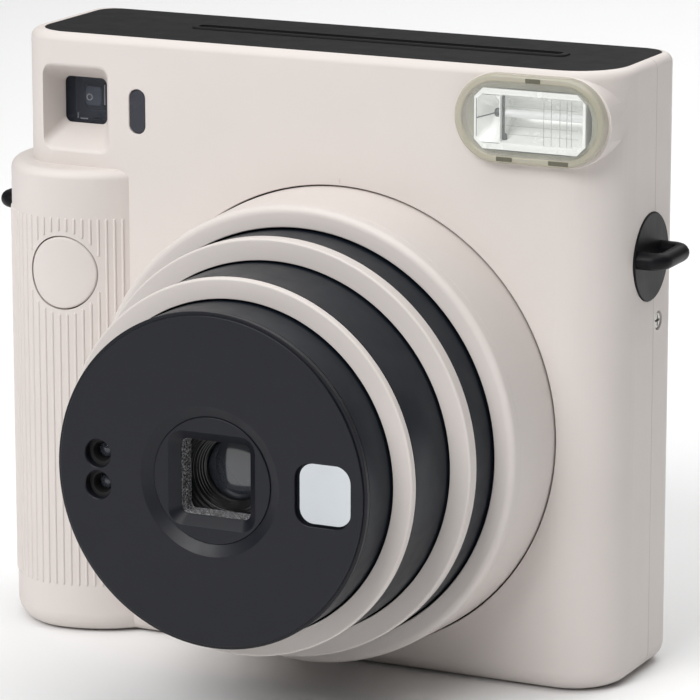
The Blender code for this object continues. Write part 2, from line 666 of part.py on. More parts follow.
def build_shutter_button():
    """The button's face is the grip's own curve, its stem reaches back to the switch."""
    button = rod("shutter_button", "y", (BUTTON_X, BUTTON_Z), BUTTON_R,
                 (depth(-9), depth(-2.0)), CREAM, 40)
    combine(button, "INTERSECT", grip_solid("button_face"))
    join(button, rod("button_flange", "y", (BUTTON_X, BUTTON_Z), 5.2, (depth(-3.0), depth(-0.8)), steps=32))
    join(button, rod("button_stem", "y", (BUTTON_X, BUTTON_Z), 2.0, (depth(-1.5), depth(0.9)), steps=20))


def build_electronics():
    rounded_box("main_circuit_board", (-60.3, -37.5), (4.0, 5.4), (8.0, 90.0), 1.5, BOARD)
    rounded_box("shutter_switch", (BUTTON_X - 3, BUTTON_X + 3), (2.4, 3.7),
                (BUTTON_Z - 3, BUTTON_Z + 3), 0.6, INNER)
    rod("flash_capacitor", "z", (-38.9, depth(21.0)), 4.4, (22.0, 56.0), BLACK, 28)


def build_finder():
    rounded_box("finder_window", (-54.6, -42.3), (6.9, 7.9), (98.9, 110.4), 1.0, GLASS)
    tube = rounded_box("finder_tube", (-55.2, -41.7), (8.2, 30.7), (98.2, 111.0), 1.5, INNER)
    cut(tube, rounded_box("finder_bore", (-53.6, -43.3), (5, 35), (99.8, 109.4), 1.0))
    rounded_box("finder_eyepiece", (-54.3, -42.6), (31.0, 32.9), (99.2, 110.2), 1.7, GLASS)
    rounded_box("light_sensor_window", (-35.4, -32.5), (0.1, 2.4), (100.3, 108.4), 1.4, BLACK)
    rounded_box("counter_window", (-44.7, -38.3), (31.3, BODY_DEPTH - 0.1), (15.8, 20.7), 0.8, CLEAR)
    rod("film_counter_wheel", "y", (-41.5, 26.0), 7.2, (depth(28.9), depth(30.3)), WHITE, 30)


def build_flash():
    cap = rounded_box("flash_cap", (34.6, 63.9), (-2.6, -1.1), (101.2, 116.8), 7.6, CLEAR)
    join(cap, rounded_box("cap_skirt", (37.2, 62.0), (-2.0, 0.9), (103.0, 115.0), 5.9))
    cut(cap, rounded_box("cap_hollow", (38.4, 60.8), (-1.6, 4), (104.2, 113.8), 4.7))
    dish = rounded_box("flash_reflector", (38.0, 61.2), (1.3, 6.4), (103.4, 114.6), 5.2, MIRROR)
    hollow = [
        [(x, depth(0.9), z) for x, z in rounded((38.7, 60.5), (104.1, 113.9), 1.4)],
        [(x, depth(5.6), z) for x, z in rounded((41.8, 58.6), (107.6, 110.4), 1.0)],
    ]
    cut(dish, loft("reflector_hollow", hollow))
    rod("flash_tube", "x", (depth(3.4), 109.0), 1.0, (42.4, 57.9), GLASS, 16)


def build_camera():
    clear_scene()
    build_front_shell()
    build_grip_cover()
    build_back_shell()
    build_top_panel()
    build_side_screw()
    build_strap_lug("right_strap_lug", 1)
    build_strap_lug("left_strap_lug", -1)
    pivot("power_ring_axis", LENS_X, depth(0), LENS_Z, build_power_ring())
    build_lens_sleeve()
    stage("barrel_stage_1", STAGE_1_R, -24.1, -2.0, STAGE_1_R, 35.7)
    stage("barrel_stage_2", STAGE_2_R, -40.9, -18.0, 37.6, 31.6)
    stage("barrel_stage_3", STAGE_3_R, -51.5, -35.5, 33.3, None)
    build_caps()
    build_front_disc()
    rounded_box("selfie_mirror", (27.6, 37.6), (DISC_FRONT - 0.05, DISC_FRONT + 0.6),
                (43.15, 54.45), 2.8, MIRROR)
    build_light_cell("upper_light_cell", 51.5)
    build_light_cell("lower_light_cell", 45.6)
    build_lens_frame()
    build_lens_cell()
    build_glass("front_lens", 6.9, -43.2, -42.0, -41.0, -40.2)
    build_glass("rear_lens", 6.4, -35.4, -34.6, -33.6, -32.8)
    build_shutter()
    build_film_parts()
    build_ejector()
    build_film_door()
    build_latch()
    build_battery_parts()
    build_shutter_button()
    build_electronics()
    build_finder()
    build_flash()


build_camera()
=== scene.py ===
"""Looks of the instant camera for square prints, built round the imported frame.

Lengths are millimetres until a mesh is made. The origin is the centre of the base, +X is the side
of the flash, -Y is the side of the lens and +Z is up. A depth is counted from the front face, so a
negative depth stands in front of it. Places come from the boxes of the frame's own nodes.
"""

import json
import math

import bmesh
import bpy
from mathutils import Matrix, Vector

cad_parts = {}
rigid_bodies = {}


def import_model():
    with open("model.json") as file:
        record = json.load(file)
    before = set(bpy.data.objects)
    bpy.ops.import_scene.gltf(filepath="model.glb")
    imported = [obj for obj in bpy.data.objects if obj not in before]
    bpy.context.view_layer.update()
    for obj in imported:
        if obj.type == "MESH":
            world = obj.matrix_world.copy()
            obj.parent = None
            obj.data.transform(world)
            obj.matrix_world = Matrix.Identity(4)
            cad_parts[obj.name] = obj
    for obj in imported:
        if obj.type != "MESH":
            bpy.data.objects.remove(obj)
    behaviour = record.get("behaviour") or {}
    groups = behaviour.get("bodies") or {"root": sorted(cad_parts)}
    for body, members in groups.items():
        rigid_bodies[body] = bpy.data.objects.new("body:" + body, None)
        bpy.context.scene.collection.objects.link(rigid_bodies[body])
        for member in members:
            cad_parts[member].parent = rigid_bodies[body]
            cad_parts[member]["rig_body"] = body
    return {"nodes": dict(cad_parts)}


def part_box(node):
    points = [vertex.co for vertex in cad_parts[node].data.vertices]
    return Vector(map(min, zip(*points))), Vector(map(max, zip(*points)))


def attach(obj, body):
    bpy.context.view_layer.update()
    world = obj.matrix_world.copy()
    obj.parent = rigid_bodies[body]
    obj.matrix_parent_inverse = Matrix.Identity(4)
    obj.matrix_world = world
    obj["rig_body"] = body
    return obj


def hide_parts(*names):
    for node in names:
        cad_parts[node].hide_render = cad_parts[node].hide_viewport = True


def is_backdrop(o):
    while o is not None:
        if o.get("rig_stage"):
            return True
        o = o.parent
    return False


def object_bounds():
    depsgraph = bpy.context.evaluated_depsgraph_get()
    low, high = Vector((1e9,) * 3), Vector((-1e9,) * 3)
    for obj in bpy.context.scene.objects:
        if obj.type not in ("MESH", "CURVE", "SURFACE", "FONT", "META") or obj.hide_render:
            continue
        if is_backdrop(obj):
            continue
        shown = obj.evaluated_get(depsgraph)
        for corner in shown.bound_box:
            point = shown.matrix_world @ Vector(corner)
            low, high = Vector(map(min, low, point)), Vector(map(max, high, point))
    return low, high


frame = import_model()
cad_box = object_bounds()

MM = 0.001
MERGE = 0.0005
FAR = 200.0
BOX = {name: [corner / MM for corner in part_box(name)] for name in frame["nodes"]}


def low(node):
    return BOX[node][0]


def high(node):
    return BOX[node][1]


def middle(node):
    return (low(node) + high(node)) / 2


def across(node, left=0.0, right=0.0):
    """The node's span from left to right, with an amount added at each end."""
    return low(node).x + left, high(node).x + right


def heights(node, bottom=0.0, top=0.0):
    return low(node).z + bottom, high(node).z + top


def front_back(node):
    return depth_of(low(node).y), depth_of(high(node).y)


def lens_radius(node):
    return high(node).x - LENS_X


# Body
BODY_LEFT, BODY_RIGHT = across("front_shell")
BODY_HEIGHT = high("front_shell").z
BACK = high("back_shell").y
FRONT = -BACK
BODY_DEPTH = BACK - FRONT
CORNERS = (12.0, 6.0, 4.0, 8.0)     # front right, back right, back left, front left
BASE_EDGE = 4.0
ROOF_EDGE = 1.8
WALL = 2.2
ROOF = 3.0
GAP = 0.3


def depth(value):
    return FRONT + value


def depth_of(y):
    return y - FRONT


SPLIT = depth_of(high("grip_cover").y) + GAP / 2
SEAM = 0.12             # width of the line that shows where the shells meet

# Grip, as seen from above
GRIP_LEFT, GRIP_RIGHT = across("grip_cover", 0.0, 1.0)
GRIP_TOP = high("grip_cover").z
GRIP_EDGE = 1.9
GRIP_PEAK_X = -50.5
GRIP_ARC = 23.1
GRIP_ARC_DEPTH = depth_of(low("grip_cover").y) + GRIP_ARC
GRIP_SIDE_DEPTH = 12.0
GRIP_ROUNDNESS = 1.9
GRIP_ACROSS = GRIP_PEAK_X - GRIP_LEFT       # the quarter oval's reach to the left and to the front
GRIP_ALONG = GRIP_ARC - GRIP_ARC_DEPTH + GRIP_SIDE_DEPTH

# Lens, button, lugs and doors
LENS_X, LENS_Z = middle("power_ring").xz
BUTTON_X, BUTTON_Z = middle("shutter_button").xz
BUTTON_R = (high("shutter_button").x - low("shutter_button").x) / 2
BUTTON_NARROW = 0.94    # the button's width as a share of its height
PILL_XS = across("light_sensor_window", 0.3, 0.9)
LUG_DEPTH, LUG_Z, LUG_R = depth_of(middle("right_strap_lug").y), middle("right_strap_lug").z, 8.4
HATCH_DEPTH = (depth_of(low("battery_door").y), 27.3)
HATCH_Z = heights("battery_door")
HATCH_AXIS = (-64.0, 29.6)
PANEL_X = middle("top_panel").x
DOOR_AXIS = (middle("lower_hinge_pin").x, depth_of(middle("lower_hinge_pin").y))
TURN = 144              # facets round the big lens rings
TUBE_WALL = 1.6
TUBES = ((39.5, 39.5, 35.7), (35.3, 37.6, 31.6), (31.2, 33.3, None))    # radius, flange, lip
CAPS = ((39.7, 35.62), (35.37, 31.53))                                  # outer and inner radius
CONE_R = 11.85          # inner end of the cone round the lens
CELL_FACE = -46.9       # depth of the lens cell's face, behind the flocked frame
MIRROR_DEEP = 0.6       # how far the mirror lies behind the disc's face
PI = math.pi


# ---------------------------------------------------------------- meshes

def keep(name, work, angle=32):
    """Cleans a millimetre bmesh and turns it into a smooth-shaded object."""
    bmesh.ops.remove_doubles(work, verts=work.verts, dist=MERGE)
    bmesh.ops.recalc_face_normals(work, faces=work.faces)
    bmesh.ops.scale(work, vec=Vector((MM, MM, MM)), verts=work.verts)
    return store(name, work, angle)


def store(name, work, angle=32):
    mesh = bpy.data.meshes.new(name)
    work.to_mesh(mesh)
    work.free()
    return smooth(add(name, mesh), angle)


def add(name, data):
    made = bpy.data.objects.new(name, data)
    bpy.context.scene.collection.objects.link(made)
    return made


def smooth(piece, angle=32):
    piece.data.shade_smooth()
    piece.data.set_sharp_from_angle(angle=math.radians(angle))
    return piece


def bridge(work, loops):
    """Faces between neighbouring loops of points."""
    count = len(loops[0])
    for lower, upper in zip(loops, loops[1:]):
        for i in range(count):
            j = (i + 1) % count
            work.faces.new((lower[i], lower[j], upper[j], upper[i]))


def fan(work, loop, point):
    """Closes a loop with triangles that meet at a point."""
    tip = work.verts.new(point)
    for i in range(len(loop)):
        work.faces.new((loop[i], loop[(i + 1) % len(loop)], tip))


def loft(name, sections, angle=32):
    """A closed body through loops of points that all have the same count."""
    work = bmesh.new()
    loops = [[work.verts.new(point) for point in section] for section in sections]
    bridge(work, loops)
    work.faces.new(loops[0])
    work.faces.new(loops[-1])
    return keep(name, work, angle)


SHARP = (0.0, 0.0)
LEAST_EDGE = 0.01
PLACE = {
    "x": lambda u, v, t: (t, u, v),
    "y": lambda u, v, t: (u, t, v),
    "z": lambda u, v, t: (u, v, t),
}


def layers(name, axis, outline, levels):
    """A body from levels of (place along the axis, inset of the outline)."""
    place = PLACE[axis]
    return loft(name, [[place(u, v, t) for u, v in outline(inset)] for t, inset in levels])


def quarter(radius, steps=6):
    """(inset, rise) along a quarter round that starts flat on the end face."""
    turns = [PI / 2 * i / steps for i in range(steps + 1)]
    return [(radius * (1 - math.sin(a)), radius * (1 - math.cos(a))) for a in turns]


def soft_levels(start, end, start_edge, end_edge, steps=6):
    """Levels of a body whose two end faces have rounded edges."""
    way = 1 if end > start else -1
    levels = [(start + way * rise, inset) for inset, rise in quarter(start_edge, steps)]
    return levels + [(end - way * rise, inset) for inset, rise in reversed(quarter(end_edge, steps))]


def soft_body(name, axis, outline, span, edges, steps=4):
    """A body between two places, with rounded edges at its ends if edges gives any."""
    if edges == SHARP:
        return layers(name, axis, outline, [(span[0], 0), (span[1], 0)])
    first, last = (max(edge, LEAST_EDGE) for edge in edges)
    return layers(name, axis, outline, soft_levels(*span, first, last, steps))


def rounded(us, vs, radii, inset=0.0, steps=10):
    """A rectangle with its own radius at each corner: (high u, low v) first, then round."""
    radii = radii if isinstance(radii, tuple) else (radii,) * 4
    us, vs = (us[0] + inset, us[1] - inset), (vs[0] + inset, vs[1] - inset)
    largest = min(us[1] - us[0], vs[1] - vs[0]) / 2 - 0.01
    points = []
    for radius, (right, upper, start) in zip(radii, ((1, 0, -90), (1, 1, 0), (0, 1, 90), (0, 0, 180))):
        radius = min(max(radius - inset, 0.15), largest)
        cu, cv = us[right] + radius * (1 - 2 * right), vs[upper] + radius * (1 - 2 * upper)
        for i in range(steps + 1):
            a = math.radians(start + 90 * i / steps)
            points.append((cu + radius * math.cos(a), cv + radius * math.sin(a)))
    return points


def slab(name, xs, depths, zs, radius, edges=SHARP, steps=10, edge_steps=4):
    """A rounded plate across the front-to-back axis."""
    return soft_body(name, "y", lambda inset: rounded(xs, zs, radius, inset, steps),
                     (depth(depths[0]), depth(depths[1])), edges, edge_steps)


def hole(name, xs, depths, zs, radius, lip, steps=10):
    """A cutter from in front of a wall to behind it, whose mouth at depths[0] has a round lip."""
    way = 1 if depths[1] > depths[0] else -1
    levels = [(depth(depths[0] - way * 1.5), -lip)]
    levels += [(depth(depths[0] + way * rise), -inset) for inset, rise in quarter(lip, 5)]
    levels.append((depth(depths[1]), 0.0))
    return layers(name, "y", lambda inset: rounded(xs, zs, radius, inset, steps), levels)


def cube(name, xs, depths, zs):
    """A plain box."""
    outline = [(xs[0], zs[0]), (xs[1], zs[0]), (xs[1], zs[1]), (xs[0], zs[1])]
    return loft(name, [[(x, depth(d), z) for x, z in outline] for d in depths])


def lathe(name, profile, centre=None, steps=TURN, angle=32):
    """A profile of (radius, depth) points turned about a front-to-back axis."""
    centre = centre or (LENS_X, LENS_Z)
    work = bmesh.new()
    points = [work.verts.new((centre[0] + r, depth(d), centre[1])) for r, d in profile]
    pairs = list(zip(points, points[1:]))
    if not (profile[0][0] == 0 and profile[-1][0] == 0):
        pairs.append((points[-1], points[0]))
    edges = [work.edges.new(pair) for pair in pairs]
    bmesh.ops.spin(
        work, geom=points + edges, cent=(centre[0], 0, centre[1]), axis=(0, 1, 0),
        angle=2 * PI, steps=steps, use_merge=True,
    )
    return keep(name, work, angle)


def eased(profile, steps=5):
    """A closed profile of (radius, depth, rounding), with each corner rounded by its own amount."""
    points = []
    count = len(profile)
    for i, (r, d, rounding) in enumerate(profile):
        here = Vector((r, d))
        if not rounding:
            points.append((r, d))
            continue
        before, after = Vector(profile[i - 1][:2]) - here, Vector(profile[(i + 1) % count][:2]) - here
        start = here + before.normalized() * min(rounding, before.length * 0.48)
        end = here + after.normalized() * min(rounding, after.length * 0.48)
        for k in range(steps + 1):
            t = k / steps
            points.append(tuple(start * (1 - t) ** 2 + here * 2 * t * (1 - t) + end * t ** 2))
    return points


def circle(radius, centre=(0, 0), steps=48):
    turns = [2 * PI * i / steps for i in range(steps)]
    return [(centre[0] + radius * math.cos(a), centre[1] + radius * math.sin(a)) for a in turns]


def rod(name, axis, centre, radius, span, edges=SHARP, steps=48):
    """A round bar along an axis."""
    return soft_body(name, axis, lambda inset: circle(radius - inset, centre, steps), span, edges)


def carve(target, operation, *helpers):
    """Joins helpers to a piece or cuts them from it, and removes them."""
    for helper in helpers:
        step = target.modifiers.new(helper.name, "BOOLEAN")
        step.operation, step.solver, step.object = operation, "EXACT", helper
    bpy.context.view_layer.update()
    graph = bpy.context.evaluated_depsgraph_get()
    mesh = bpy.data.meshes.new_from_object(target.evaluated_get(graph))
    target.modifiers.clear()
    target.data = mesh
    for helper in helpers:
        bpy.data.objects.remove(helper, do_unlink=True)
    return smooth(target)


def cut(target, *cutters):
    return carve(target, "DIFFERENCE", *cutters)


def join(target, *extras):
    return carve(target, "UNION", *extras)


def gather(name, pieces):
    """Several separate bodies as one object."""
    work = bmesh.new()
    for piece in pieces:
        work.from_mesh(piece.data)
        bpy.data.objects.remove(piece, do_unlink=True)
    return store(name, work)


def dress(piece, look, slot, *nodes, body=None, flat=True):
    """Gives a piece its material and its body, and hides the CAD nodes that it stands for."""
    piece.data.materials.clear()
    piece.data.materials.append(look)
    if flat:
        even = piece.modifiers.new("even_normals", "WEIGHTED_NORMAL")
        even.keep_sharp = True
    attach(piece, body or frame["nodes"][nodes[0]]["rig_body"])
    if nodes:
        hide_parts(*nodes)
    return piece


# ---------------------------------------------------------------- materials

class Look:
    """A node material whose colour, roughness and relief vary over the surface."""

    def __init__(self, name):
        self.material = bpy.data.materials.new(name)
        self.material.use_nodes = True
        self.tree = self.material.node_tree
        self.shader = self.tree.nodes["Principled BSDF"]
        self.place = self.tree.nodes.new("ShaderNodeTexCoord").outputs["Object"]

    def link(self, output, target):
        self.tree.links.new(output, target)

    def values(self, node, **amounts):
        for name, amount in amounts.items():
            node.inputs[name.replace("_", " ")].default_value = amount

    def texture(self, kind, where=None, **amounts):
        """A node that reads the place on the object."""
        node = self.tree.nodes.new("ShaderNode" + kind)
        self.values(node, **amounts)
        self.link(where or self.place, node.inputs["Vector"])
        return node

    def noise(self, scale, detail=3.0, where=None, roughness=0.5):
        node = self.texture("TexNoise", where, Scale=scale, Detail=detail, Roughness=roughness)
        return node.outputs["Fac"]

    def spread(self, source, start, end, limits=(0.3, 0.7)):
        node = self.tree.nodes.new("ShaderNodeMapRange")
        self.values(node, From_Min=limits[0], From_Max=limits[1], To_Min=start, To_Max=end)
        self.link(source, node.inputs["Value"])
        return node.outputs["Result"]

    def colours(self, factor, first, second):
        node = self.tree.nodes.new("ShaderNodeMix")
        node.data_type = "RGBA"
        node.inputs["A"].default_value = (*first, 1.0)
        node.inputs["B"].default_value = (*second, 1.0)
        self.link(factor, node.inputs["Factor"])
        self.link(node.outputs["Result"], self.shader.inputs["Base Color"])

    def drifting(self, source, colour, down, up):
        """One colour that drifts between a darker and a lighter shade."""
        shades = [tuple(min(channel * factor, 1.0) for channel in colour) for factor in (down, up)]
        self.colours(self.spread(source, 0.0, 1.0), *shades)

    def rough(self, source, start, end):
        self.link(self.spread(source, start, end), self.shader.inputs["Roughness"])

    def relief(self, height, size, strength=0.5):
        node = self.tree.nodes.new("ShaderNodeBump")
        self.values(node, Distance=size, Strength=strength)
        self.link(height, node.inputs["Height"])
        self.link(node.outputs["Normal"], self.shader.inputs["Normal"])


def moulded(name, colour, roughness, grain=2600.0, relief=0.00001, strength=0.35, **sockets):
    """Moulded plastic: a fine grain in relief, with a slow drift in colour and gloss."""
    look = Look(name)
    look.drifting(look.noise(38.0, 4.0), colour, 0.98, 1.02)
    look.rough(look.noise(240.0, 2.0), roughness - 0.04, roughness + 0.04)
    if strength:
        look.relief(look.noise(grain, 2.0), relief, strength)
    look.values(look.shader, **sockets)
    return look.material


def clear(name, colour, alpha, roughness=0.05, ior=1.45):
    """Clear plastic or glass: tinted, glossy and partly see-through, with faint swirls."""
    look = Look(name)
    swirl = look.noise(90.0, 3.0)
    look.drifting(swirl, colour, 0.94, 1.06)
    look.rough(look.noise(420.0), roughness, roughness + 0.04)
    look.relief(swirl, 0.00002, 0.2)
    look.values(look.shader, Alpha=alpha, IOR=ior)
    return look.material


def metal(name, colour, roughness, brush=(1.0, 1.0, 1.0), grain=1800.0, relief=0.000008):
    """Metal with fine brushing along the axis whose scale is small."""
    look = Look(name)
    lines = look.noise(grain, 3.0, look.texture("Mapping", Scale=brush).outputs["Vector"])
    look.drifting(lines, colour, 0.9, 1.06)
    look.rough(lines, roughness - 0.05, roughness + 0.08)
    if relief:
        look.relief(lines, relief, 0.4)
    look.values(look.shader, Metallic=1.0)
    return look.material


def flocked(name, dark, light):
    """Flocked frame round the glass: short bright fibres on a dark ground."""
    look = Look(name)
    fibres = look.noise(3300.0, 3.0, roughness=0.8)
    look.colours(look.spread(fibres, 0.0, 1.0, (0.5, 0.6)), dark, light)
    look.rough(look.noise(900.0), 0.55, 0.8)
    look.relief(fibres, 0.00012, 0.9)
    return look.material


def coated():
    """Coated lens glass: dark and glossy, with a slow cloudy drift in its grey."""
    look = Look("coated_lens_glass")
    cloud = look.spread(look.noise(25.0, 1.0), 0.0, 1.0)
    look.colours(cloud, (0.020, 0.023, 0.030), (0.030, 0.034, 0.042))
    look.rough(look.noise(60.0, 1.0), 0.06, 0.09)
    look.values(look.shader, IOR=1.8, Coat_Weight=0.15)
    return look.material


def board():
    """Circuit board: a green mask with lighter lines between its fields."""
    look = Look("circuit_board_mask")
    tracks = look.texture("TexBrick", Scale=160.0, Mortar_Size=0.03)
    look.colours(tracks.outputs["Fac"], (0.012, 0.09, 0.035), (0.05, 0.22, 0.09))
    look.rough(look.noise(500.0), 0.25, 0.4)
    look.relief(tracks.outputs["Fac"], 0.00004, 0.6)
    return look.material


def sleeve():
    """Battery sleeve: wide blue bands with a light ring between them."""
    look = Look("cell_sleeve_print")
    bands = look.texture("TexWave", Scale=11.0, Distortion=0.0)
    bands.bands_direction = "Z"
    step = look.spread(bands.outputs["Fac"], 0.0, 1.0, (0.72, 0.76))
    look.colours(step, (0.06, 0.12, 0.30), (0.45, 0.46, 0.48))
    look.rough(look.noise(300.0), 0.25, 0.4)
    look.relief(look.noise(700.0), 0.00001, 0.3)
    return look.material


CREAM_COLOUR = (0.685, 0.632, 0.602)
CREAM = moulded("cream_moulded", CREAM_COLOUR, 0.50, Specular_IOR_Level=0.35)
CREAM_SMOOTH = moulded("cream_satin", CREAM_COLOUR, 0.42, 3200.0, strength=0.12, Specular_IOR_Level=0.35)
CHARCOAL = moulded("charcoal_moulded", (0.0055, 0.0062, 0.0105), 0.42, grain=3400.0, strength=0.25,
                   Specular_IOR_Level=0.34)
ROOF_BLACK = moulded("roof_charcoal", (0.0105, 0.0105, 0.0115), 0.62, grain=2400.0, strength=0.5,
                     relief=0.000015, Specular_IOR_Level=0.14)
LUG_BLACK = moulded("lug_charcoal", (0.0062, 0.0062, 0.0075), 0.40, grain=1500.0, strength=0.6,
                    relief=0.00003, Specular_IOR_Level=0.14)
TUBE = moulded("barrel_blue_black", (0.0045, 0.0075, 0.0125), 0.34, strength=0.0, Specular_IOR_Level=0.19,
               Specular_Tint=(0.72, 0.86, 1.0, 1.0))
MATT_BLACK = moulded("matt_black", (0.010, 0.010, 0.011), 0.6, grain=1800.0, strength=0.4)
CELL_BLACK = moulded("turned_black", (0.008, 0.008, 0.009), 0.22, grain=2000.0, strength=0.05)
WHITE = moulded("natural_white", (0.74, 0.74, 0.71), 0.42, grain=1500.0, strength=0.3)
FLOCK = flocked("flocked_frame", (0.012, 0.012, 0.013), (0.68, 0.68, 0.70))
STEEL = metal("bright_steel", (0.62, 0.62, 0.62), 0.28, (0.06, 1.0, 1.0))
SCREW_STEEL = metal("screw_steel", (0.55, 0.53, 0.5), 0.3)
BRASS = metal("turned_brass", (0.72, 0.55, 0.26), 0.3, (1.0, 1.0, 0.1))
DIM_BRASS = metal("dim_brass", (0.30, 0.24, 0.14), 0.3)
MIRROR = metal("mirror_coating", (0.60, 0.63, 0.66), 0.07, grain=60.0, relief=0.0)
REFLECTOR = moulded("reflector_coating", (0.95, 0.96, 0.93), 0.25, 900.0, strength=0.1, Metallic=0.12)
CAP_CLEAR = clear("cap_clear", (0.85, 0.88, 0.86), 0.10, 0.05)
CAP_RIM = clear("cap_tinted", (0.50, 0.48, 0.37), 0.60, 0.05)
CAP_CLIP = clear("cap_clip_tint", (0.12, 0.115, 0.075), 0.72, 0.08)
# Painted shadow: a dark grey for the strips that draw the pane's ridges
RIDGE_SHADOW = moulded("ridge_shadow", (0.30, 0.31, 0.31), 0.4, strength=0.05)
# Dark plastic of the tube's holder and wire, also used for thin strips and a bar that paint shade in the
# reflector
HOLDER_AND_SHADE = moulded("tube_holder_dark", (0.012, 0.015, 0.017), 0.4, strength=0.1)
WINDOW_DARK = clear("finder_glass", (0.045, 0.052, 0.070), 0.28, 0.03)
FINDER_STEP = moulded("finder_step_dark", (0.030, 0.036, 0.055), 0.3, strength=0.05)
# Painted light: the finder's inner lens is coloured light to stand for the light seen through the finder
FINDER_PAINTED_GLOW = moulded("finder_inner", (0.13, 0.15, 0.20), 0.25, strength=0.05)
# Painted highlight: a near-white colour for the thin slabs that stand for glints in the finder
PAINTED_GLINT = moulded("finder_glint", (0.85, 0.90, 1.0), 0.2, strength=0.05)
MARK_WHITE = moulded("printed_white", (1.0, 1.0, 1.0), 0.5, strength=0.1)
PILL_DARK = clear("sensor_window", (0.030, 0.032, 0.045), 0.94, 0.10)
LENS_GLASS = clear("clear_glass", (0.05, 0.055, 0.07), 0.86, 0.03, 1.6)
COATED_GLASS = coated()
TUBE_GLASS = clear("xenon_glass", (0.95, 0.97, 0.97), 0.75, 0.04)
AMBER = clear("pack_window_tint", (0.30, 0.24, 0.10), 0.75, 0.12)
BOARD = board()
SLEEVE = sleeve()


# ---------------------------------------------------------------- shells

def body_outline(inset):
    ys = (depth(0), depth(BODY_DEPTH))
    return rounded((BODY_LEFT, BODY_RIGHT), ys, CORNERS, inset, 14)


def grip_outline(inset, right=GRIP_RIGHT):
    """The grip from above: a broad arc in front, a quarter oval to the side, a small back corner."""
    arc = GRIP_ARC - inset
    end = math.acos(min((right - GRIP_PEAK_X) / arc, 1.0))
    points = []
    for i in range(24):
        a = end + (PI / 2 - end) * i / 23
        points.append((GRIP_PEAK_X + arc * math.cos(a), depth(GRIP_ARC_DEPTH - arc * math.sin(a))))
    power = 2 / GRIP_ROUNDNESS
    for i in range(1, 33):
        a = PI / 2 * i / 32
        x = GRIP_PEAK_X - (GRIP_ACROSS - inset) * math.sin(a) ** power
        points.append((x, depth(GRIP_SIDE_DEPTH - (GRIP_ALONG - inset) * max(math.cos(a), 0.0) ** power)))
    radius = CORNERS[2] - min(inset, 3.6)
    for i in range(9):
        a = PI / 2 * i / 8
        x = GRIP_LEFT + inset + radius * (1 - math.cos(a))
        points.append((x, depth(BODY_DEPTH - inset - radius * (1 - math.sin(a)))))
    return points + [(right, depth(BODY_DEPTH - inset))]


def upright(name, outline, span, edges, inset=0.0, steps=8):
    levels = [(z, i + inset) for z, i in soft_levels(span[0], span[1], edges[0], edges[1], steps)]
    return layers(name, "z", outline, levels)


def body_solid(name):
    return upright(name, body_outline, (0.0, BODY_HEIGHT), (BASE_EDGE, ROOF_EDGE))


def body_hollow(name):
    return upright(name, body_outline, (WALL, BODY_HEIGHT - ROOF), (1.8, 0.4), WALL, 3)


def grip_solid(name):
    return upright(name, grip_outline, (0.0, GRIP_TOP), (BASE_EDGE, GRIP_EDGE))


def grip_hollow(name):
    def outline(inset):
        return grip_outline(inset, GRIP_RIGHT + 1.5)

    return upright(name, outline, (WALL, GRIP_TOP - WALL), (1.8, 0.8), WALL, 3)


def lug_hole(name, side):
    span = (BODY_RIGHT - 6, BODY_RIGHT + 4) if side > 0 else (GRIP_LEFT - 4, GRIP_LEFT + 6)
    return rod(name, "x", (depth(LUG_DEPTH), LUG_Z), LUG_R + 0.12, span, steps=72)


def hatch_opening(name):
    return cube(name, (GRIP_LEFT - 3, GRIP_LEFT + 3.2), (HATCH_DEPTH[0] - GAP, 28.0),
                (HATCH_Z[0] - GAP, HATCH_Z[1] + GAP))


def panel_outline(inset):
    ys = (low("top_panel").y, high("top_panel").y)
    return rounded(across("top_panel", 0.0, -0.8), ys, (10.0, 5.0, 4.0, 7.0), inset, 12)


def slot_outline(inset):
    return rounded((PANEL_X - 32.15, PANEL_X + 44.15), (depth(15.9), depth(18.5)), 1.0, inset, 6)


def roof_cutters(tag):
    pocket = layers("roof_pocket_" + tag, "z", lambda i: panel_outline(i - 0.15),
                    [(BODY_HEIGHT - 1.6, 0), (BODY_HEIGHT + 4, 0)])
    slot = layers("roof_slot_" + tag, "z", slot_outline,
                  [(BODY_HEIGHT - 8, 0), (BODY_HEIGHT + 4, 0)])
    return pocket, slot


# The finder's mouth, front and back: spans across and in height, and the corner radius
FUNNEL_MOUTH = ((-54.3, -39.7), (95.8, 112.2), 1.9)
FUNNEL_THROAT = ((-52.6, -43.3), (100.0, 109.1), 1.3)
# Openings: spans across, in depth and in height
FLASH_HOLE = ((36.8, 62.4), (-0.15, 9.0), (102.6, 115.4))
DOOR_HOLE = ((-33.4, 56.5), (BODY_DEPTH, 28.0), (6.1, 103.9))
EYEPIECE_HOLE = ((-54.6, -42.3), (BODY_DEPTH, 29.0), (98.9, 110.5))
LATCH_HOLE = ((-43.5, -37.5), (BODY_DEPTH, 28.0), (39.3, 57.0))
COUNTER_HOLE = ((-45.0, -38.0), (BODY_DEPTH, 28.0), (15.5, 21.0))


def funnel(name):
    """The finder's mouth: sloping walls that start with a soft lip at the front face."""
    lip, throat, end = 0.55, 6.3, 8.4
    sections = []
    places = [(-1.0, lip)] + [(rise, inset) for inset, rise in quarter(lip, 5)]
    for d, out in places + [(throat, 0.0), (end, 0.0)]:
        t = min(max(d / throat, 0.0), 1.0)
        ends = []
        for a, b in zip(FUNNEL_MOUTH[:2], FUNNEL_THROAT[:2]):
            ends.append(tuple(p * (1 - t) + q * t for p, q in zip(a, b)))
        radius = FUNNEL_MOUTH[2] * (1 - t) + FUNNEL_THROAT[2] * t
        sections.append([(x, depth(d), z) for x, z in rounded(*ends, radius, -out, 8)])
    return loft(name, sections)


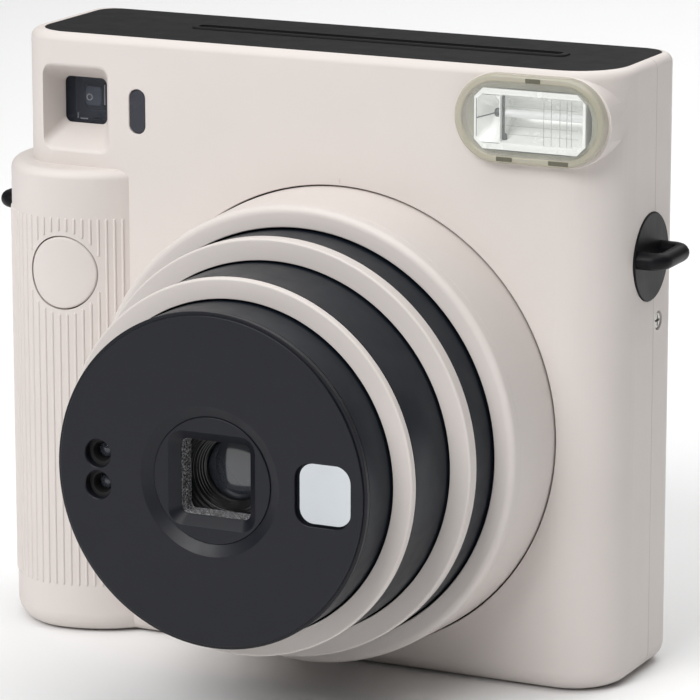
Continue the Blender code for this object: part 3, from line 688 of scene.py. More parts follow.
def make_front_shell():
    """The front moulding with the grip's cover, whose joint doesn't show."""
    shell = body_solid("front_shell_skin")
    boss_xs, boss_zs = across("flash_cap", -1.0, 1.0), heights("flash_cap", -0.4, 0.7)
    boss = slab("flash_boss", boss_xs, (-0.15, 11.0), boss_zs, 8.4, (0.2, 0.1), 18)
    join(shell, grip_solid("front_grip"), boss)
    hollow = body_hollow("front_hollow")
    cut(hollow, slab("flash_tunnel", boss_xs, (-2.0, 6.8), boss_zs, 8.2),
        cube("finder_block", (-59.0, -38.4), (-2.0, 6.6), (93.6, 114.2)))
    grip_room = grip_hollow("front_grip_hollow")
    cut(grip_room, cube("button_block", (-57.5, -37.0), (-9.0, -1.9), (62.0, 83.0)))
    ring_r = lens_radius("power_ring") + GAP
    lens_hole = lathe("lens_hole", eased([(0, -5, 0), (ring_r + 0.15, -5, 0), (ring_r + 0.15, 0, 0),
                                          (ring_r, 0.15, 0.05), (ring_r, 8, 0), (0, 8, 0)]))
    cut(shell, hollow, grip_room,
        cube("behind_split", (-FAR, FAR), (SPLIT - SEAM / 2, FAR), (-FAR, FAR)),
        lens_hole, funnel("finder_funnel"))
    pill_zs = heights("light_sensor_window", -GAP, GAP)
    cut(shell, hole("light_sensor_hole", PILL_XS, (0.0, 4.0), pill_zs, 1.7, 0.22),
        hole("flash_hole", *FLASH_HOLE, 6.2, 0.3, 14))
    cut(shell, *roof_cutters("front"), lug_hole("right_lug_hole", 1), lug_hole("left_lug_hole", -1),
        hatch_opening("front_hatch_opening"), button_cutter("button_hole", 0.24, -9.0, 2.0),
        cube("index_mark", (9.83, 9.97), (-1, 0.12), (93.9, 94.95)),
        cube("index_bar", (9.3, 9.97), (-1, 0.06), (94.8, 94.95)))
    join(shell, make_ribs("grip_ribs"))
    return dress(shell, CREAM, "cream_plastic", "front_shell", "grip_cover")


def grip_path():
    """The grip's outline as points with their outward normals and distance from the right end."""
    outline = [Vector(point) for point in grip_outline(0.0)]
    path, travelled = [], 0.0
    for here, there in zip(outline, outline[1:]):
        step = there - here
        path.append((travelled, here, there, Vector((step.y, -step.x)).normalized()))
        travelled += step.length
    return path


def on_grip(path, distance):
    for start, here, there, normal in path:
        length = (there - here).length
        if start <= distance <= start + length:
            return here.lerp(there, (distance - start) / length), -normal
    return None


RIB_START = 1.35        # distance of the first rib from the outline's right end
RIB_PITCH = 1.58
RIB_R = 0.29
RIB_SINK = 0.05         # how far a rib's axis lies under the surface
RIB_Z = (9.7, 83.4)
RIB_CLEAR = 1.1         # clearing between the ribs and the button


def without(spans, middle_z, half):
    """Spans of height with a stretch about one height taken out."""
    kept = []
    for start, end in spans:
        kept += [(start, min(end, middle_z - half)), (max(start, middle_z + half), end)]
    return [(a, b) for a, b in kept if b - a > 0.9]


def capsule(work, point, span):
    """An upright bar with half-round ends, added to a bmesh."""
    sides, rings = 12, 4
    levels = [(span[0] + RIB_R * (1 - math.cos(PI / 2 * i / rings)), RIB_R * math.sin(PI / 2 * i / rings))
              for i in range(1, rings + 1)]
    levels += [(span[0] + span[1] - z, r) for z, r in reversed(levels)]
    loops = [[work.verts.new((*place, z)) for place in circle(r, point, sides)] for z, r in levels]
    bridge(work, loops)
    fan(work, loops[0], (*point, span[0]))
    fan(work, loops[-1], (*point, span[1]))


def make_ribs(name):
    """Ribs along the grip's outline, as far as the battery door, with a clearing for the button."""
    path = grip_path()
    work = bmesh.new()
    distance = RIB_START
    found = on_grip(path, distance)
    while found and depth_of(found[0].y) <= HATCH_DEPTH[0] - 1.0:
        point, normal = found
        spans = [RIB_Z]
        reach = BUTTON_R + RIB_CLEAR
        aside = abs(point.x - BUTTON_X) / BUTTON_NARROW
        if aside < reach:
            spans = without(spans, BUTTON_Z, math.sqrt(reach ** 2 - aside ** 2))
        for span in spans:
            capsule(work, point - normal * RIB_SINK, span)
        distance += RIB_PITCH
        found = on_grip(path, distance)
    return keep(name, work)


def grip_surface(x):
    """Depth of the grip's outer face at a place across."""
    if x >= GRIP_PEAK_X:
        return GRIP_ARC_DEPTH - math.sqrt(GRIP_ARC ** 2 - (x - GRIP_PEAK_X) ** 2)
    share = ((GRIP_PEAK_X - x) / GRIP_ACROSS) ** GRIP_ROUNDNESS
    return GRIP_SIDE_DEPTH - GRIP_ALONG * (1 - share) ** (1 / GRIP_ROUNDNESS)


def button_outline(inset):
    return [(BUTTON_X + u * BUTTON_NARROW, BUTTON_Z + v) for u, v in circle(BUTTON_R - inset, steps=96)]


def button_cutter(name, gap, near, far):
    return layers(name, "y", button_outline, [(depth(near), -gap), (depth(far), -gap)])


def make_button():
    """A round button whose face carries on the grip's curve, with a soft rim."""
    work = bmesh.new()
    edge = 0.4
    rings = [(BUTTON_R * (1 - share), 0.0) for share in (0.12, 0.3, 0.5, 0.7, 0.86)]
    back = depth_of(high("shutter_button").y) - 2.9
    loops = []
    for inset, drop in rings + quarter(edge, 6):
        loops.append([work.verts.new((x, depth(grip_surface(x) + drop), z))
                      for x, z in button_outline(inset)])
    loops.append([work.verts.new((x, depth(back), z)) for x, z in button_outline(0.0)])
    bridge(work, loops)
    fan(work, loops[0], (BUTTON_X, depth(grip_surface(BUTTON_X)), BUTTON_Z))
    work.faces.new(loops[-1])
    button = keep("shutter_button_skin", work)
    centre = (BUTTON_X, BUTTON_Z)
    join(button, rod("button_flange", "y", centre, 5.2, (depth(back - 0.5), depth(-0.8))),
         rod("button_stem", "y", centre, 2.0, (depth(-1.5), high("shutter_button").y)))
    return dress(button, CREAM_SMOOTH, "cream_plastic", "shutter_button")


DOOR_KNUCKLES = ((14.4, 25.6), (74.4, 85.6))
HATCH_KNUCKLES = ((15.3, 20.7), (59.3, 64.7))


def hinge_rod(name, centre, radius, span, steps=32):
    return rod(name, "z", (centre[0], depth(centre[1])), radius, span, steps=steps)


def make_back_shell():
    """The back moulding: holes for the door, eyepiece, latch and counter, and hinges in its wall."""
    shell, hollow = body_solid("back_shell_skin"), body_hollow("back_hollow")
    grip_room = grip_hollow("back_grip_hollow")
    join(shell, grip_solid("back_grip"))
    cut(hollow, *[cube(f"door_rail_{i}", (57.2, 70), (28.6, 40), (a - 5.4, b + 5.4))
                  for i, (a, b) in enumerate(DOOR_KNUCKLES)])
    cut(grip_room, *[cube(f"hatch_rail_{i}", (-70, -60.5), (28.1, 31.4), (a - 3.4, b + 3.4))
                     for i, (a, b) in enumerate(HATCH_KNUCKLES)])
    cut(shell, cube("ahead_of_split", (-FAR, FAR), (-FAR, SPLIT + SEAM / 2), (-FAR, FAR)),
        hollow, grip_room)
    cutters = [hole("door_opening", *DOOR_HOLE, 2.6, 0.35), hole("eyepiece_hole", *EYEPIECE_HOLE, 2.0, 0.5),
               hole("latch_slot", *LATCH_HOLE, 1.0, 0.25), hole("counter_hole", *COUNTER_HOLE, 1.0, 0.25)]
    for i, (a, b) in enumerate(DOOR_KNUCKLES):
        cutters.append(cube(f"door_notch_{i}", (56.2, 61.8), (29.3, 40), (a - 0.4, b + 0.4)))
        cutters.append(hinge_rod(f"door_bore_{i}", DOOR_AXIS, 1.1, (a - 4.0, b + 4.0), 20))
    for i, (a, b) in enumerate(HATCH_KNUCKLES):
        cutters.append(cube(f"hatch_notch_{i}", (-70, -62.4), (27.5, 31.1), (a - 0.3, b + 0.3)))
        cutters.append(hinge_rod(f"hatch_bore_{i}", HATCH_AXIS, 0.85, (a - 2.4, b + 2.4), 20))
    cut(shell, *cutters, hatch_opening("hatch_opening"), lug_hole("right_lug_back", 1),
        lug_hole("left_lug_back", -1), *roof_cutters("back"),
        rod("side_screw_hole", "x", middle("side_screw").yz, 1.9, (60, 70)))
    return dress(shell, CREAM, "cream_plastic", "back_shell")


def make_top_panel():
    """The black roof panel, with a raised rim round the slot for the prints."""
    top = high("top_panel").z - 0.4
    panel = layers("top_panel_skin", "z", panel_outline, soft_levels(low("top_panel").z, top, 0.05, 0.12, 3))

    def rim_outline(inset):
        return rounded((PANEL_X - 33.35, PANEL_X + 45.35), (depth(15.0), depth(19.4)), 1.6, inset, 8)

    join(panel, layers("slot_rim", "z", rim_outline,
                       soft_levels(top - 0.5, high("top_panel").z, 0.05, 0.35, 5)))
    cut(panel, layers("panel_slot", "z", slot_outline, [(top - 8, 0), (top + 4, 0)]))
    return dress(panel, ROOF_BLACK, "black_plastic", "top_panel")


# ---------------------------------------------------------------- lens

def make_power_ring():
    """The ring narrows a little towards its front, where a fine line runs round it."""
    outer, bore, lip = lens_radius("power_ring"), 42.7, 39.84
    front, back = front_back("power_ring")
    line = front + 2.6
    ring = lathe("power_ring_skin", eased([
        (bore, back, 0), (outer, back, 0.2), (outer, -1.0, 0), (outer - 0.6, line + 0.14, 0),
        (outer - 0.67, line + 0.07, 0), (outer - 0.6, line, 0), (outer - 0.75, front, 1.5),
        (lip, front, 0.3), (lip, front + 1.5, 0.1), (bore, front + 1.5, 0)], 9))
    return dress(ring, CREAM_SMOOTH, "cream_plastic", "power_ring")


def make_tube(number, outer, flange, lip):
    """A tube with a stop flange behind and, if it carries another tube, a lip in front."""
    node = f"barrel_stage_{number}"
    front, back = front_back(node)
    inner = outer - TUBE_WALL
    profile = [(outer, front), (outer, back - 1.5), (flange, back - 1.5), (flange, back), (inner, back)]
    if lip:
        profile += [(inner, front + 1.2), (lip, front + 1.2), (lip, front)]
    else:
        profile += [(inner, front)]
    return dress(lathe(f"{node}_skin", profile), TUBE, "barrel_plastic", node)


def make_cap(number, outer, inner):
    """The cream band on a stage's front edge, flat in front with a tight rounded edge."""
    node = f"barrel_cap_{number}"
    front, back = front_back(node)
    cap = lathe(f"{node}_skin", eased([(inner, back, 0), (outer, back, 0.1), (outer, front, 0.5),
                                       (inner, front, 0.16)]))
    return dress(cap, CREAM_SMOOTH, "cream_plastic", node)


def make_front_disc():
    """The face of the barrel: a fine edge line, a bevel outside it and a cone round the lens."""
    (front, back), radius = front_back("front_disc"), lens_radius("front_disc")
    disc = lathe("front_disc_skin", eased([
        (radius, back, 0), (radius, front + 0.55, 0.12), (radius - 0.62, front + 0.5, 0),
        (radius - 0.67, front, 0.16), (14.0, front, 0.12), (CONE_R, front + 1.1, 0), (CONE_R, back, 0)]))
    cut(disc, hole("mirror_seat", across("selfie_mirror", -0.95, 0.1), (front, front + 1.1),
                   heights("selfie_mirror", -0.3, 0.1), 3.1, 0.12))
    radius, lip = 2.6, 0.18
    for name in ("upper_light_cell", "lower_light_cell"):
        profile = eased([(0, front - 2, 0), (radius + lip, front - 2, 0), (radius + lip, front, 0),
                         (radius, front + lip, 0.05), (radius, back + 1, 0), (0, back + 1, 0)])
        cut(disc, lathe(f"{name}_hole", profile, middle(name).xz, 48))
    return dress(disc, CHARCOAL, "black_plastic", "front_disc")


def make_mirror():
    """The mirror bulges a little, so that it shows a wide view."""
    xs, zs = across("selfie_mirror", -0.3, 0.05), heights("selfie_mirror", 0.05, 0.05)
    crown, tuck, reach = 0.12, 0.15, 4.6
    face = depth_of(low("front_disc").y)
    front, back = face + MIRROR_DEEP, face + 1.05
    levels = [(depth(back), 0.0), (depth(front + tuck), 0.0)]
    levels += [(depth(front + rise), inset) for inset, rise in reversed(quarter(tuck, 4))]
    steps = 9
    for i in range(1, steps + 1):
        t = i / (steps + 1)
        levels.append((depth(front - crown * (1 - (1 - t) ** 2)), tuck + reach * t))
    mirror = layers("selfie_mirror_skin", "y", lambda inset: rounded(xs, zs, 2.8, inset, 10), levels)
    return dress(mirror, MIRROR, "mirror_coat", "selfie_mirror")


def make_light_cell(name):
    """A dark cup behind its hole in the disc, with a round lens at the bottom."""
    centre, (front, back) = middle(name).xz, front_back(name)
    cup = lathe(f"{name}_cup", [(0, back), (2.7, back), (2.7, front), (1.9, front), (1.7, front + 0.5),
                                (1.7, back - 1.0), (0, back - 1.0)], centre, 40)
    dress(cup, MATT_BLACK, "inner_plastic", name)
    turns = [PI / 2 * i / 6 for i in range(6)]
    dome = [(1.55 * math.cos(a), back - 1.0 - 0.9 * math.sin(a)) for a in turns] + [(0, back - 1.9)]
    bead = lathe(f"{name}_bead", [(0, back - 1.1)] + dome, centre, 32)
    return dress(bead, LENS_GLASS, "lens_glass", body=frame["nodes"][name]["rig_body"])


def make_lens_frame():
    """The round plate with its chamfered square hole, and the flocked frame behind the hole."""
    front = depth_of(low("lens_frame").y)
    plate_r, plate_back = CONE_R - 0.05, front + 1.8
    plate = lathe("lens_frame_plate", eased([(0, plate_back, 0), (plate_r, plate_back, 0),
                                             (plate_r, front, 0.22), (0, front, 0)]), steps=96)
    wide, narrow = 8.7, 7.0

    def square(half, d, radius):
        us, vs = (LENS_X - half, LENS_X + half), (LENS_Z - half, LENS_Z + half)
        return [(x, depth(d), z) for x, z in rounded(us, vs, radius, 0.0, 8)]

    mouth = [square(wide + 0.6, front - 1.0, 3.1), square(wide + 0.12, front, 2.9),
             square(wide, front + 0.1, 2.8), square(narrow + 0.05, plate_back - 0.15, 1.5),
             square(narrow, plate_back - 0.05, 1.4), square(narrow, plate_back + 2, 1.4)]
    cut(plate, loft("lens_frame_mouth", mouth))
    dress(plate, CHARCOAL, "black_plastic", "lens_frame")
    tube = loft("flocked_tube", [square(narrow + 0.6, plate_back + 0.05, 2.0),
                                 square(narrow + 0.6, CELL_FACE - 0.2, 2.0)])
    cut(tube, loft("flocked_bore", [square(narrow + 0.12, plate_back - 2, 1.5),
                                    square(narrow - 0.25, plate_back + 5, 1.2)]))
    return dress(tube, FLOCK, "black_plastic", body="barrel_stage_3")


def make_lens_cell():
    """The cell steps in towards the glass: two bright lips, then fine rings down the cone."""
    back, outer = front_back("lens_cell")[1], lens_radius("lens_cell")
    face = CELL_FACE
    profile = [(outer, back, 0), (outer, face, 0.1), (8.35, face, 0.12), (8.2, face + 0.5, 0.1),
               (7.75, face + 0.5, 0.12), (7.6, face + 1.2, 0.1), (7.15, face + 1.2, 0.12)]
    radius, d = 7.0, face + 1.6
    while radius > 6.0:
        profile += [(radius, d, 0), (radius - 0.05, d + 0.3, 0), (radius - 0.22, d + 0.34, 0)]
        radius -= 0.25
        d += 0.55
    profile += [(5.8, d, 0), (5.8, back - 1.0, 0), (5.2, back - 1.0, 0), (5.2, back, 0)]
    cell = lathe("lens_cell_skin", eased(profile, 3), steps=96, angle=25)
    dress(cell, CELL_BLACK, "inner_plastic", "lens_cell", flat=False)
    ring = lathe("lens_gold_ring", eased([(6.0, -42.75, 0.03), (6.08, -42.75, 0.03),
                                          (6.08, -42.4, 0), (6.0, -42.4, 0)], 2), steps=96)
    return dress(ring, DIM_BRASS, "brass", body="barrel_stage_3")


def make_glass():
    """The front lens: two domes that meet in a straight rim."""
    radius, turns = 5.9, [PI / 2 * i / 10 for i in range(1, 11)]
    profile = []
    for rim, vertex, way in ((-42.1, -43.0, 1), (-41.4, -40.4, -1)):
        dome = [(0, vertex)] + [(radius * math.sin(a), rim + (vertex - rim) * math.cos(a)) for a in turns]
        profile += dome[::way]
    lens = lathe("front_lens_glass", profile, steps=96)
    dress(lens, COATED_GLASS, "lens_glass", "front_lens", flat=False)


# ---------------------------------------------------------------- finder, flash, lugs

def back_window(name, node, radius, edge, look, slot):
    """A pane in the back, with a rounded outer face."""
    inner, outer = front_back(node)
    pane = slab(name, across(node), (outer, inner), heights(node), radius, (edge, 0.1))
    dress(pane, look, slot, node)


def make_finder():
    """The finder's glass, and behind it the inner lens in its step with a target ring on it. The inner lens
    is coloured light as painted light seen through the finder, and thin bright slabs are painted glints.
    """
    window = slab("finder_window_glass", across("finder_window"), (6.9, front_back("finder_window")[1]),
                  heights("finder_window"), 1.0, (0.15, 0.1))
    dress(window, WINDOW_DARK, "lens_glass", "finder_window")
    step = slab("finder_inner_step", (-53.4, -44.0), (11.6, 13.0), (99.9, 108.6), 1.4, (0.5, 0.1))
    cut(step, slab("finder_step_hollow", (-51.2, -44.7), (10.0, 12.4), (101.6, 107.7), 1.2, (0.1, 0.1)))
    dress(step, FINDER_STEP, "lens_glass", body="body")
    # The inner lens's light colour is painted light seen through the finder
    lens = slab("finder_inner_lens", (-49.9, -46.3), (9.5, 10.4), (102.9, 106.8), 0.7, (0.25, 0.1))
    dress(lens, FINDER_PAINTED_GLOW, "lens_glass", body="body")
    edge = slab("finder_lens_shade", (-46.2, -45.6), (9.7, 10.5), (102.7, 106.9), 0.2, (0.1, 0.1))
    dress(edge, MATT_BLACK, "inner_plastic", body="body")
    ring = [(0.5, 9.36), (0.66, 9.36), (0.66, 9.45), (0.5, 9.45)]
    target = lathe("finder_target", ring, (-48.9, 104.6), 40)
    dress(target, MARK_WHITE, "lens_glass", body="body")
    # Painted highlights: thin near-white slabs stand for glints on the edges of the finder's glass
    edges = (((-45.15, -44.95), 8.5, (103.4, 107.4)), ((-50.6, -48.9), 8.6, (100.3, 100.55)),
             ((-51.2, -51.0), 8.6, (100.4, 101.5)))
    glints = [slab(f"finder_glint_{i}", xs, (d, d + 0.2), zs, 0.08, (0.02, 0.02))
              for i, (xs, d, zs) in enumerate(edges)]
    dress(gather("finder_edge_glints", glints), PAINTED_GLINT, "lens_glass", body="body")
    back_window("finder_eyepiece_glass", "finder_eyepiece", 1.7, 0.5, WINDOW_DARK, "lens_glass")


def make_sensor():
    front, back = front_back("light_sensor_window")
    pill = slab("light_sensor_pill", (PILL_XS[0] + 0.08, PILL_XS[1] - 0.08), (front + 0.2, back),
                heights("light_sensor_window", -0.2, 0.2), 1.6, (0.2, 0.1), 12)
    return dress(pill, PILL_DARK, "black_plastic", "light_sensor_window")


def make_flash():
    """The clear cap: a thick tinted rim with moulded clips, and a thin pane in it whose ridges are drawn as
    painted shadow lines.
    """
    front, skirt_back = front_back("flash_cap")
    xs, zs = across("flash_cap", -0.2, 0.4), heights("flash_cap", -0.1, 0.9)
    rim = slab("flash_cap_rim", xs, (front, -0.1), zs, 8.4, (0.6, 0.1), 18, 6)
    join(rim, slab("cap_skirt", (37.2, 62.0), (front + 0.6, skirt_back), (103.0, 115.0), 5.9))
    inner_xs, inner_zs = (xs[0] + 1.6, xs[1] - 1.3), (zs[0] + 1.4, zs[1] - 1.4)
    cut(rim, hole("cap_opening", inner_xs, (front, -0.6), inner_zs, 7.0, 0.35, 16),
        slab("cap_skirt_hollow", (37.7, 61.2), (-3.0, 4.0), (103.1, 114.9), 5.0))
    dress(rim, CAP_RIM, "clear_plastic", "flash_cap")
    clips = []
    for i, (x, z, half) in enumerate(((50.2, zs[1] - 0.85, 1.5), (44.6, zs[0] + 0.85, 1.6),
                                      (55.4, zs[0] + 0.85, 2.0))):
        clips.append(slab(f"cap_clip_{i}", (x - half, x + half), (front - 0.03, front + 0.5),
                          (z - 0.42, z + 0.42), 0.12, (0.05, 0.05), 3))
    dress(gather("flash_cap_clips", clips), CAP_CLIP, "clear_plastic", body="body")
    pane = slab("flash_cap_pane", (inner_xs[0] + 0.05, inner_xs[1] - 0.05), (front + 0.2, front + 0.6),
                (inner_zs[0] + 0.05, inner_zs[1] - 0.05), 6.9, (0.1, 0.05), 16)
    dress(pane, CAP_CLEAR, "clear_plastic", body="body")
    # The pane's ridges are drawn as thin dark strips behind it: painted shadow lines
    ridge_depths = (front + 0.65, front + 0.75)
    ridges = [cube(f"pane_ridge_{i}", (x - 0.045, x + 0.045), ridge_depths, (105.0, 113.6))
              for i, x in enumerate((52.2, 53.7, 55.4, 56.8, 57.7))]
    ridges += [cube(f"pane_line_{i}", (44.8, 59.0), ridge_depths, (z - 0.03, z + 0.03))
               for i, z in enumerate((106.6, 108.2, 111.8))]
    dress(gather("flash_cap_ridges", ridges), RIDGE_SHADOW, "clear_plastic", body="body")


def make_reflector():
    """A bright trough along the tube, a hollow pyramid at its left end and a dark bar between them, whose
    darkness is partly painted shade where they meet. Thin dark strips paint the shade round the pyramid's
    rim.
    """
    xs, zs, front, back = (38.1, 60.3), (103.5, 114.8), -1.55, depth_of(high("flash_reflector").y)
    centre_z, split_x = 109.3, 43.3
    dish = layers("flash_reflector_skin", "y", lambda inset: rounded(xs, zs, 1.7, inset, 1),
                  [(depth(front), 0), (depth(front + 0.6), 0), (depth(back), 1.2)])
    sections = []
    for i in range(13):
        t = i / 12
        half = ((zs[1] - zs[0]) / 2 - 1.05) * (math.sqrt(1 - t) * 0.92 + 0.08)
        section = rounded((split_x, xs[1] - 0.5 - 1.3 * t), (centre_z - half, centre_z + half), 0.3, 0.0, 2)
        sections.append([(x, depth(front - 0.3 + (back - 1.2 - front) * t), z) for x, z in section])
    mouth = rounded((xs[0] + 0.5, split_x - 0.15), (zs[0] + 1.2, zs[1] - 1.2), 0.9, 0.0, 1)
    point = rounded((41.2, 41.9), (109.6, 110.3), 0.2, 0.0, 1)
    pyramid = [[(x, depth(front - 0.01), z) for x, z in mouth], [(x, depth(front), z) for x, z in mouth],
               [(x, depth(2.6), z) for x, z in point]]
    cut(dish, loft("reflector_hollow", sections), loft("reflector_pyramid", pyramid))
    groove_zs = [zs[0] + 0.3, zs[0] + 0.62, zs[1] - 0.62, zs[1] - 0.3]
    cut(dish, *[cube(f"reflector_groove_{i}", (40.5, 58.2), (front - 1, front + 0.08),
                     (z - 0.05, z + 0.05)) for i, z in enumerate(groove_zs)])
    dress(dish, REFLECTOR, "mirror_coat", "flash_reflector")
    tube_d, tube_z = 0.3, 110.1
    tube = rod("flash_tube_glass", "x", (depth(tube_d), tube_z), 0.75, (43.2, 59.3), (0.3, 0.3))
    dress(tube, TUBE_GLASS, "lens_glass", "flash_tube")
    face = (front - 0.03, front + 0.2)
    # Painted shade: three thin dark strips round the pyramid's rim, and the dark trigger bar, which also
    # paints the shade where the trough meets the pyramid
    holder = [rod("flash_tube_end", "x", (depth(tube_d), tube_z), 0.85, (41.6, 43.1), (0.3, 0.3)),
              slab("flash_trigger_bar", (43.0, 43.75), (-0.6, -0.2), (104.6, 113.6), 0.2, (0.1, 0.1), 3),
              slab("flash_trigger_foot", (43.5, 44.2), (-0.5, -0.1), (104.6, 106.4), 0.2, (0.1, 0.1), 3),
              cube("reflector_edge_left", (xs[0] + 0.38, xs[0] + 0.5), face, (105.6, 112.8)),
              cube("reflector_edge_top", (39.6, 43.2), face, (zs[1] - 1.22, zs[1] - 1.12)),
              cube("reflector_edge_low", (39.6, 43.2), face, (zs[0] + 1.12, zs[0] + 1.22))]
    dress(gather("flash_tube_holder", holder), HOLDER_AND_SHADE, "black_plastic", body="body")
    wire = wire_between("flash_trigger_wire",
                        [(41.9, 0.2, tube_z), (40.0, -0.9, 109.5), (38.5, -1.45, 109.1)], 0.12)
    return dress(wire, HOLDER_AND_SHADE, "black_plastic", body="body")


def wire_between(name, route, radius):
    """A thin round wire through points of (x, depth, z)."""
    data = bpy.data.curves.new(name, "CURVE")
    data.dimensions = "3D"
    data.bevel_depth = radius * MM
    data.bevel_resolution = 7
    data.use_fill_caps = True
    line = data.splines.new("POLY")
    line.points.add(len(route) - 1)
    for point, (x, d, z) in zip(line.points, route):
        point.co = (x * MM, depth(d) * MM, z * MM, 1)
    curve = add(name + "_curve", data)
    graph = bpy.context.evaluated_depsgraph_get()
    mesh = bpy.data.meshes.new_from_object(curve.evaluated_get(graph))
    bpy.data.objects.remove(curve, do_unlink=True)
    return smooth(add(name, mesh))


def make_lug(node, side):
    """A disc set into the side wall, and a bar bent into a loop for the strap."""
    face = BODY_RIGHT if side > 0 else GRIP_LEFT
    disc = rod(f"{node}_skin", "x", (depth(LUG_DEPTH), LUG_Z), LUG_R,
               (face - 2.4 * side, face + 0.3 * side), (0.1, 0.2), 96)
    reach, bend, half = 4.65, 2.2, 5.9
    route = [(-0.6, -half)]
    for i in range(9):
        a = PI / 2 * i / 8
        route.append((reach - bend + bend * math.sin(a), -half + bend - bend * math.cos(a)))
    route += [(out, -d) for out, d in reversed(route)]
    bar = wire_between(f"{node}_bar", [(face + out * side, LUG_DEPTH - 0.6 + d, LUG_Z + 0.5)
                                       for out, d in route], 1.65)
    join(disc, bar)
    return dress(disc, LUG_BLACK, "black_plastic", node)


def make_screw():
    """A cross-head screw, sunk into the side."""
    (inner, outer), centre = across("side_screw"), middle("side_screw")
    middle_depth = depth_of(centre.y)
    head = rod("side_screw_skin", "x", centre.yz, 1.6, (inner, outer), (0.05, 0.3), 40)
    long, short = 1.1, 0.22
    cut(head, *[cube(f"screw_slot_{i}", (outer - 0.7, outer + 4), (middle_depth - w, middle_depth + w),
                     (centre.z - h, centre.z + h))
                for i, (w, h) in enumerate(((long, short), (short, long)))])
    return dress(head, SCREW_STEEL, "steel", "side_screw")


# ---------------------------------------------------------------- doors

def make_film_door():
    """The door's field lies in a fine groove. Two arms carry its knuckles, and a catch faces the latch."""
    back, zs = BODY_DEPTH, heights("film_door")
    door = slab("film_door_skin", (-33.1, 56.1), (back, 31.1), zs, 2.2, (0.4, 0.1))
    groove = slab("door_groove", (-27.6, 50.6), (back + 1, back - 0.35), (zs[0] + 5.5, zs[1] - 5.5), 4.0)
    cut(groove, slab("door_field", (-26.8, 49.8), (back + 3, back - 2), (zs[0] + 6.3, zs[1] - 6.3), 3.4))
    cut(door, groove, hole("pack_window_hole", across("pack_window", -GAP, GAP), (back, 28),
                           heights("pack_window", -GAP, GAP), 4.5, 0.3))
    extras = []
    for i, span in enumerate(DOOR_KNUCKLES):
        extras.append(cube(f"door_arm_{i}", (54.5, DOOR_AXIS[0]), (31.3, 33.1), span))
        extras.append(hinge_rod(f"door_knuckle_{i}", DOOR_AXIS, 1.8, span))
    extras.append(cube("door_catch", (-32.9, -31.3), (28.4, 31.6), (48.0, 54.0)))
    join(door, *extras)
    cut(door, *[hinge_rod(f"knuckle_bore_{i}", DOOR_AXIS, 1.0, (a - 2, b + 2))
                for i, (a, b) in enumerate(DOOR_KNUCKLES)])
    dress(door, CREAM, "cream_plastic", "film_door")
    back_window("pack_window_pane", "pack_window", 4.2, 0.3, AMBER, "clear_plastic")


def make_latch():
    """A slider with five thumb grooves, held from behind by its flange."""
    inner, back = front_back("door_latch")
    latch = slab("door_latch_skin", (-43.2, -37.8), (back, 30.4), (45.6, 56.6), 0.8, (0.35, 0.1))
    join(latch, cube("latch_flange", across("door_latch"), (inner, inner + 1.6), heights("door_latch")))
    cut(latch, *[rod(f"latch_groove_{i}", "x", (depth(back), 48.0 + 1.5 * i), 0.42, (-45, -36), steps=20)
                 for i in range(5)])
    return dress(latch, CHARCOAL, "black_plastic", "door_latch")


def make_counter():
    """The counter's window and its wheel, with eleven marks round the wheel's face."""
    back_window("counter_window_pane", "counter_window", 0.8, 0.25, CAP_CLEAR, "clear_plastic")
    wheel, centre = "film_counter_wheel", middle("film_counter_wheel")
    inner_y, outer_y = low(wheel).y, high(wheel).y
    radius = high(wheel).x - centre.x
    disc = rod("counter_wheel_skin", "y", centre.xz, radius, (inner_y, outer_y), (0.1, 0.2), 72)
    dress(disc, WHITE, "white_plastic", wheel)
    ticks = []
    for i in range(11):
        a = math.radians(-90 + 30 * i)
        corners = [(centre.x + along * math.cos(a) - aside * math.sin(a),
                    centre.z + along * math.sin(a) + aside * math.cos(a))
                   for along, aside in ((5.2, -0.25), (6.6, -0.25), (6.6, 0.25), (5.2, 0.25))]
        ticks.append(loft(f"counter_tick_{i}", [[(x, y, z) for x, z in corners]
                                                for y in (outer_y - 0.05, outer_y + 0.05)]))
    dress(gather("counter_wheel_ticks", ticks), MATT_BLACK, "inner_plastic", body=wheel)


def make_battery_door():
    """The door in the grip's end: ribbed outside, with two arms and stub pins behind."""
    def outline(inset):
        return rounded((depth(HATCH_DEPTH[0]), depth(HATCH_DEPTH[1])), HATCH_Z, 0.8, inset, 5)

    hatch = layers("battery_door_skin", "x", outline,
                   soft_levels(GRIP_LEFT, GRIP_LEFT + 1.9, 0.3, 0.05, 3))
    extras = []
    for i, (a, b) in enumerate(HATCH_KNUCKLES):
        extras += [cube(f"hatch_arm_{i}", (-65.1, -63.6), (26.5, HATCH_AXIS[1]), (a, b)),
                   hinge_rod(f"hatch_knuckle_{i}", HATCH_AXIS, 1.2, (a, b)),
                   hinge_rod(f"hatch_stub_{i}", HATCH_AXIS, 0.55, (a - 2.0, b + 2.0))]
    join(hatch, *extras)
    work = bmesh.new()
    d = HATCH_DEPTH[0] + 1.6
    while d < HATCH_DEPTH[1] - 1.0:
        capsule(work, Vector((GRIP_LEFT + RIB_SINK, depth(d))), (HATCH_Z[0] + 1.4, HATCH_Z[1] - 1.4))
        d += RIB_PITCH
    join(hatch, keep("hatch_ribs", work))
    return dress(hatch, CREAM, "cream_plastic", "battery_door")


# ---------------------------------------------------------------- inside

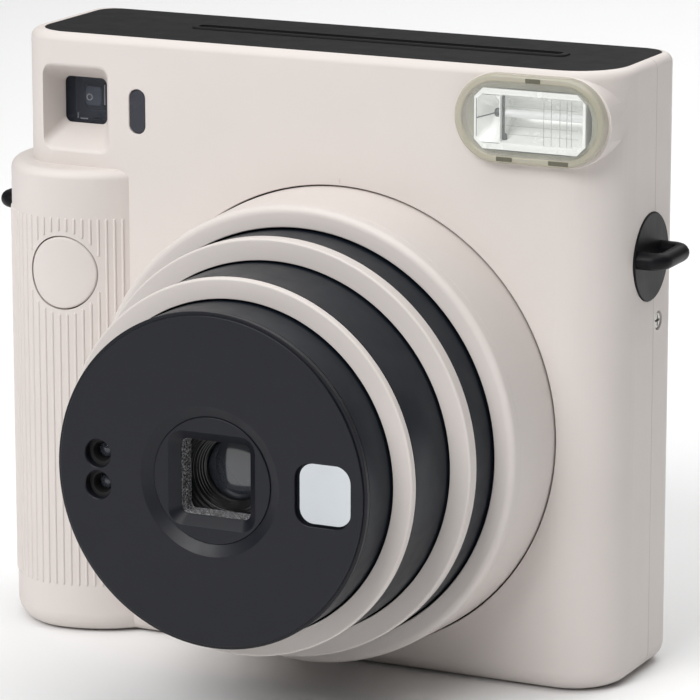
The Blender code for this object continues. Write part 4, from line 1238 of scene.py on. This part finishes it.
INSIDE = {
    "lens_sleeve": MATT_BLACK, "film_chamber_frame": MATT_BLACK, "film_cassette": CHARCOAL,
    "roller_bracket": STEEL, "drive_motor": STEEL, "battery_holder": MATT_BLACK,
    "lower_battery": SLEEVE, "upper_battery": SLEEVE, "main_circuit_board": BOARD,
    "shutter_switch": MATT_BLACK, "flash_capacitor": CHARCOAL, "finder_tube": MATT_BLACK,
    "lower_hinge_pin": STEEL, "upper_hinge_pin": STEEL, "rear_lens": LENS_GLASS,
    "shutter_plate": MATT_BLACK, "shutter_blade_left": CELL_BLACK, "shutter_blade_right": CELL_BLACK,
    "film_pressure_plate": STEEL, "rear_roller": STEEL, "rear_roller_gear": WHITE,
    "front_roller": STEEL, "front_roller_gear": WHITE, "idler_gear": WHITE, "drive_gear": WHITE,
    "motor_worm": BRASS, "film_claw": STEEL,
}


def dress_inside():
    """The parts inside keep their CAD shape and take a worked material."""
    for name, look in INSIDE.items():
        mesh = frame["nodes"][name].data
        mesh.materials.clear()
        mesh.materials.append(look)


# ---------------------------------------------------------------- stage

def make_floor():
    work = bmesh.new()
    bmesh.ops.create_grid(work, x_segments=1, y_segments=1, size=4000)
    floor = keep("floor", work)
    floor.location.z = -0.0002
    look = Look("floor_white")
    look.colours(look.spread(look.noise(3.0), 0.0, 1.0), (0.90, 0.90, 0.90), (0.92, 0.92, 0.92))
    look.values(look.shader, Roughness=0.9)
    floor.data.materials.append(look.material)
    floor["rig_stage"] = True


def make_world():
    world = bpy.data.worlds.new("studio")
    world.use_nodes = True
    back = world.node_tree.nodes["Background"]
    back.inputs["Color"].default_value = (1.0, 1.0, 1.0, 1.0)
    back.inputs["Strength"].default_value = 0.13
    bpy.context.scene.world = world


def aim(name, data, azimuth, elevation, distance, target):
    """A light or camera that looks at a point from a direction, azimuth 0 being the front."""
    made = add(name, data)
    a, e = math.radians(azimuth), math.radians(elevation)
    way = Vector((math.sin(a) * math.cos(e), -math.cos(a) * math.cos(e), math.sin(e)))
    made.location = Vector(target) + way * distance
    made.rotation_mode = "QUATERNION"
    made.rotation_quaternion = way.to_track_quat("Z", "Y")
    return made


def make_light(name, azimuth, elevation, distance, size, power, target=(0.0, 0.0, 0.06)):
    """A soft panel, by default aimed at the middle of the camera body."""
    data = bpy.data.lights.new(name, "AREA")
    data.shape = "RECTANGLE"
    data.size, data.size_y = size
    data.energy = power
    aim(name, data, azimuth, elevation, distance, target)


def make_camera():
    data = bpy.data.cameras.new("view")
    data.lens, data.sensor_width = 224.6, 36.0
    data.clip_start, data.clip_end = 0.05, 20
    bpy.context.scene.camera = aim("view", data, 25.71, 13.23, 0.8275, (0.011985, -0.01665, 0.06211))


def make_studio():
    make_camera()
    make_floor()
    make_world()
    make_light("key", -14, 38, 2.4, (1.5, 1.1), 38.8)
    make_light("top", 12, 78, 1.1, (1.2, 0.8), 7.0)
    make_light("backdrop", 150, 84, 0.9, (1.3, 1.0), 8.0, (0.06, 0.78, 0.0))
    bpy.context.scene.view_settings.view_transform = "Standard"


make_studio()
for make in (make_front_shell, make_back_shell, make_top_panel, make_button, make_power_ring):
    make()
for number, radii in enumerate(TUBES, 1):
    make_tube(number, *radii)
for number, radii in enumerate(CAPS, 1):
    make_cap(number, *radii)
make_front_disc()
make_mirror()
make_light_cell("upper_light_cell")
make_light_cell("lower_light_cell")
for make in (make_lens_frame, make_lens_cell, make_glass, make_finder, make_sensor, make_flash,
             make_reflector):
    make()
make_lug("right_strap_lug", 1)
make_lug("left_strap_lug", -1)
for make in (make_screw, make_film_door, make_latch, make_counter, make_battery_door, dress_inside):
    make()

for label, (lowest, highest) in (("cad", cad_box), ("visual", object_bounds())):
    {"low": [float(v) for v in lowest], "high": [float(v) for v in highest]}
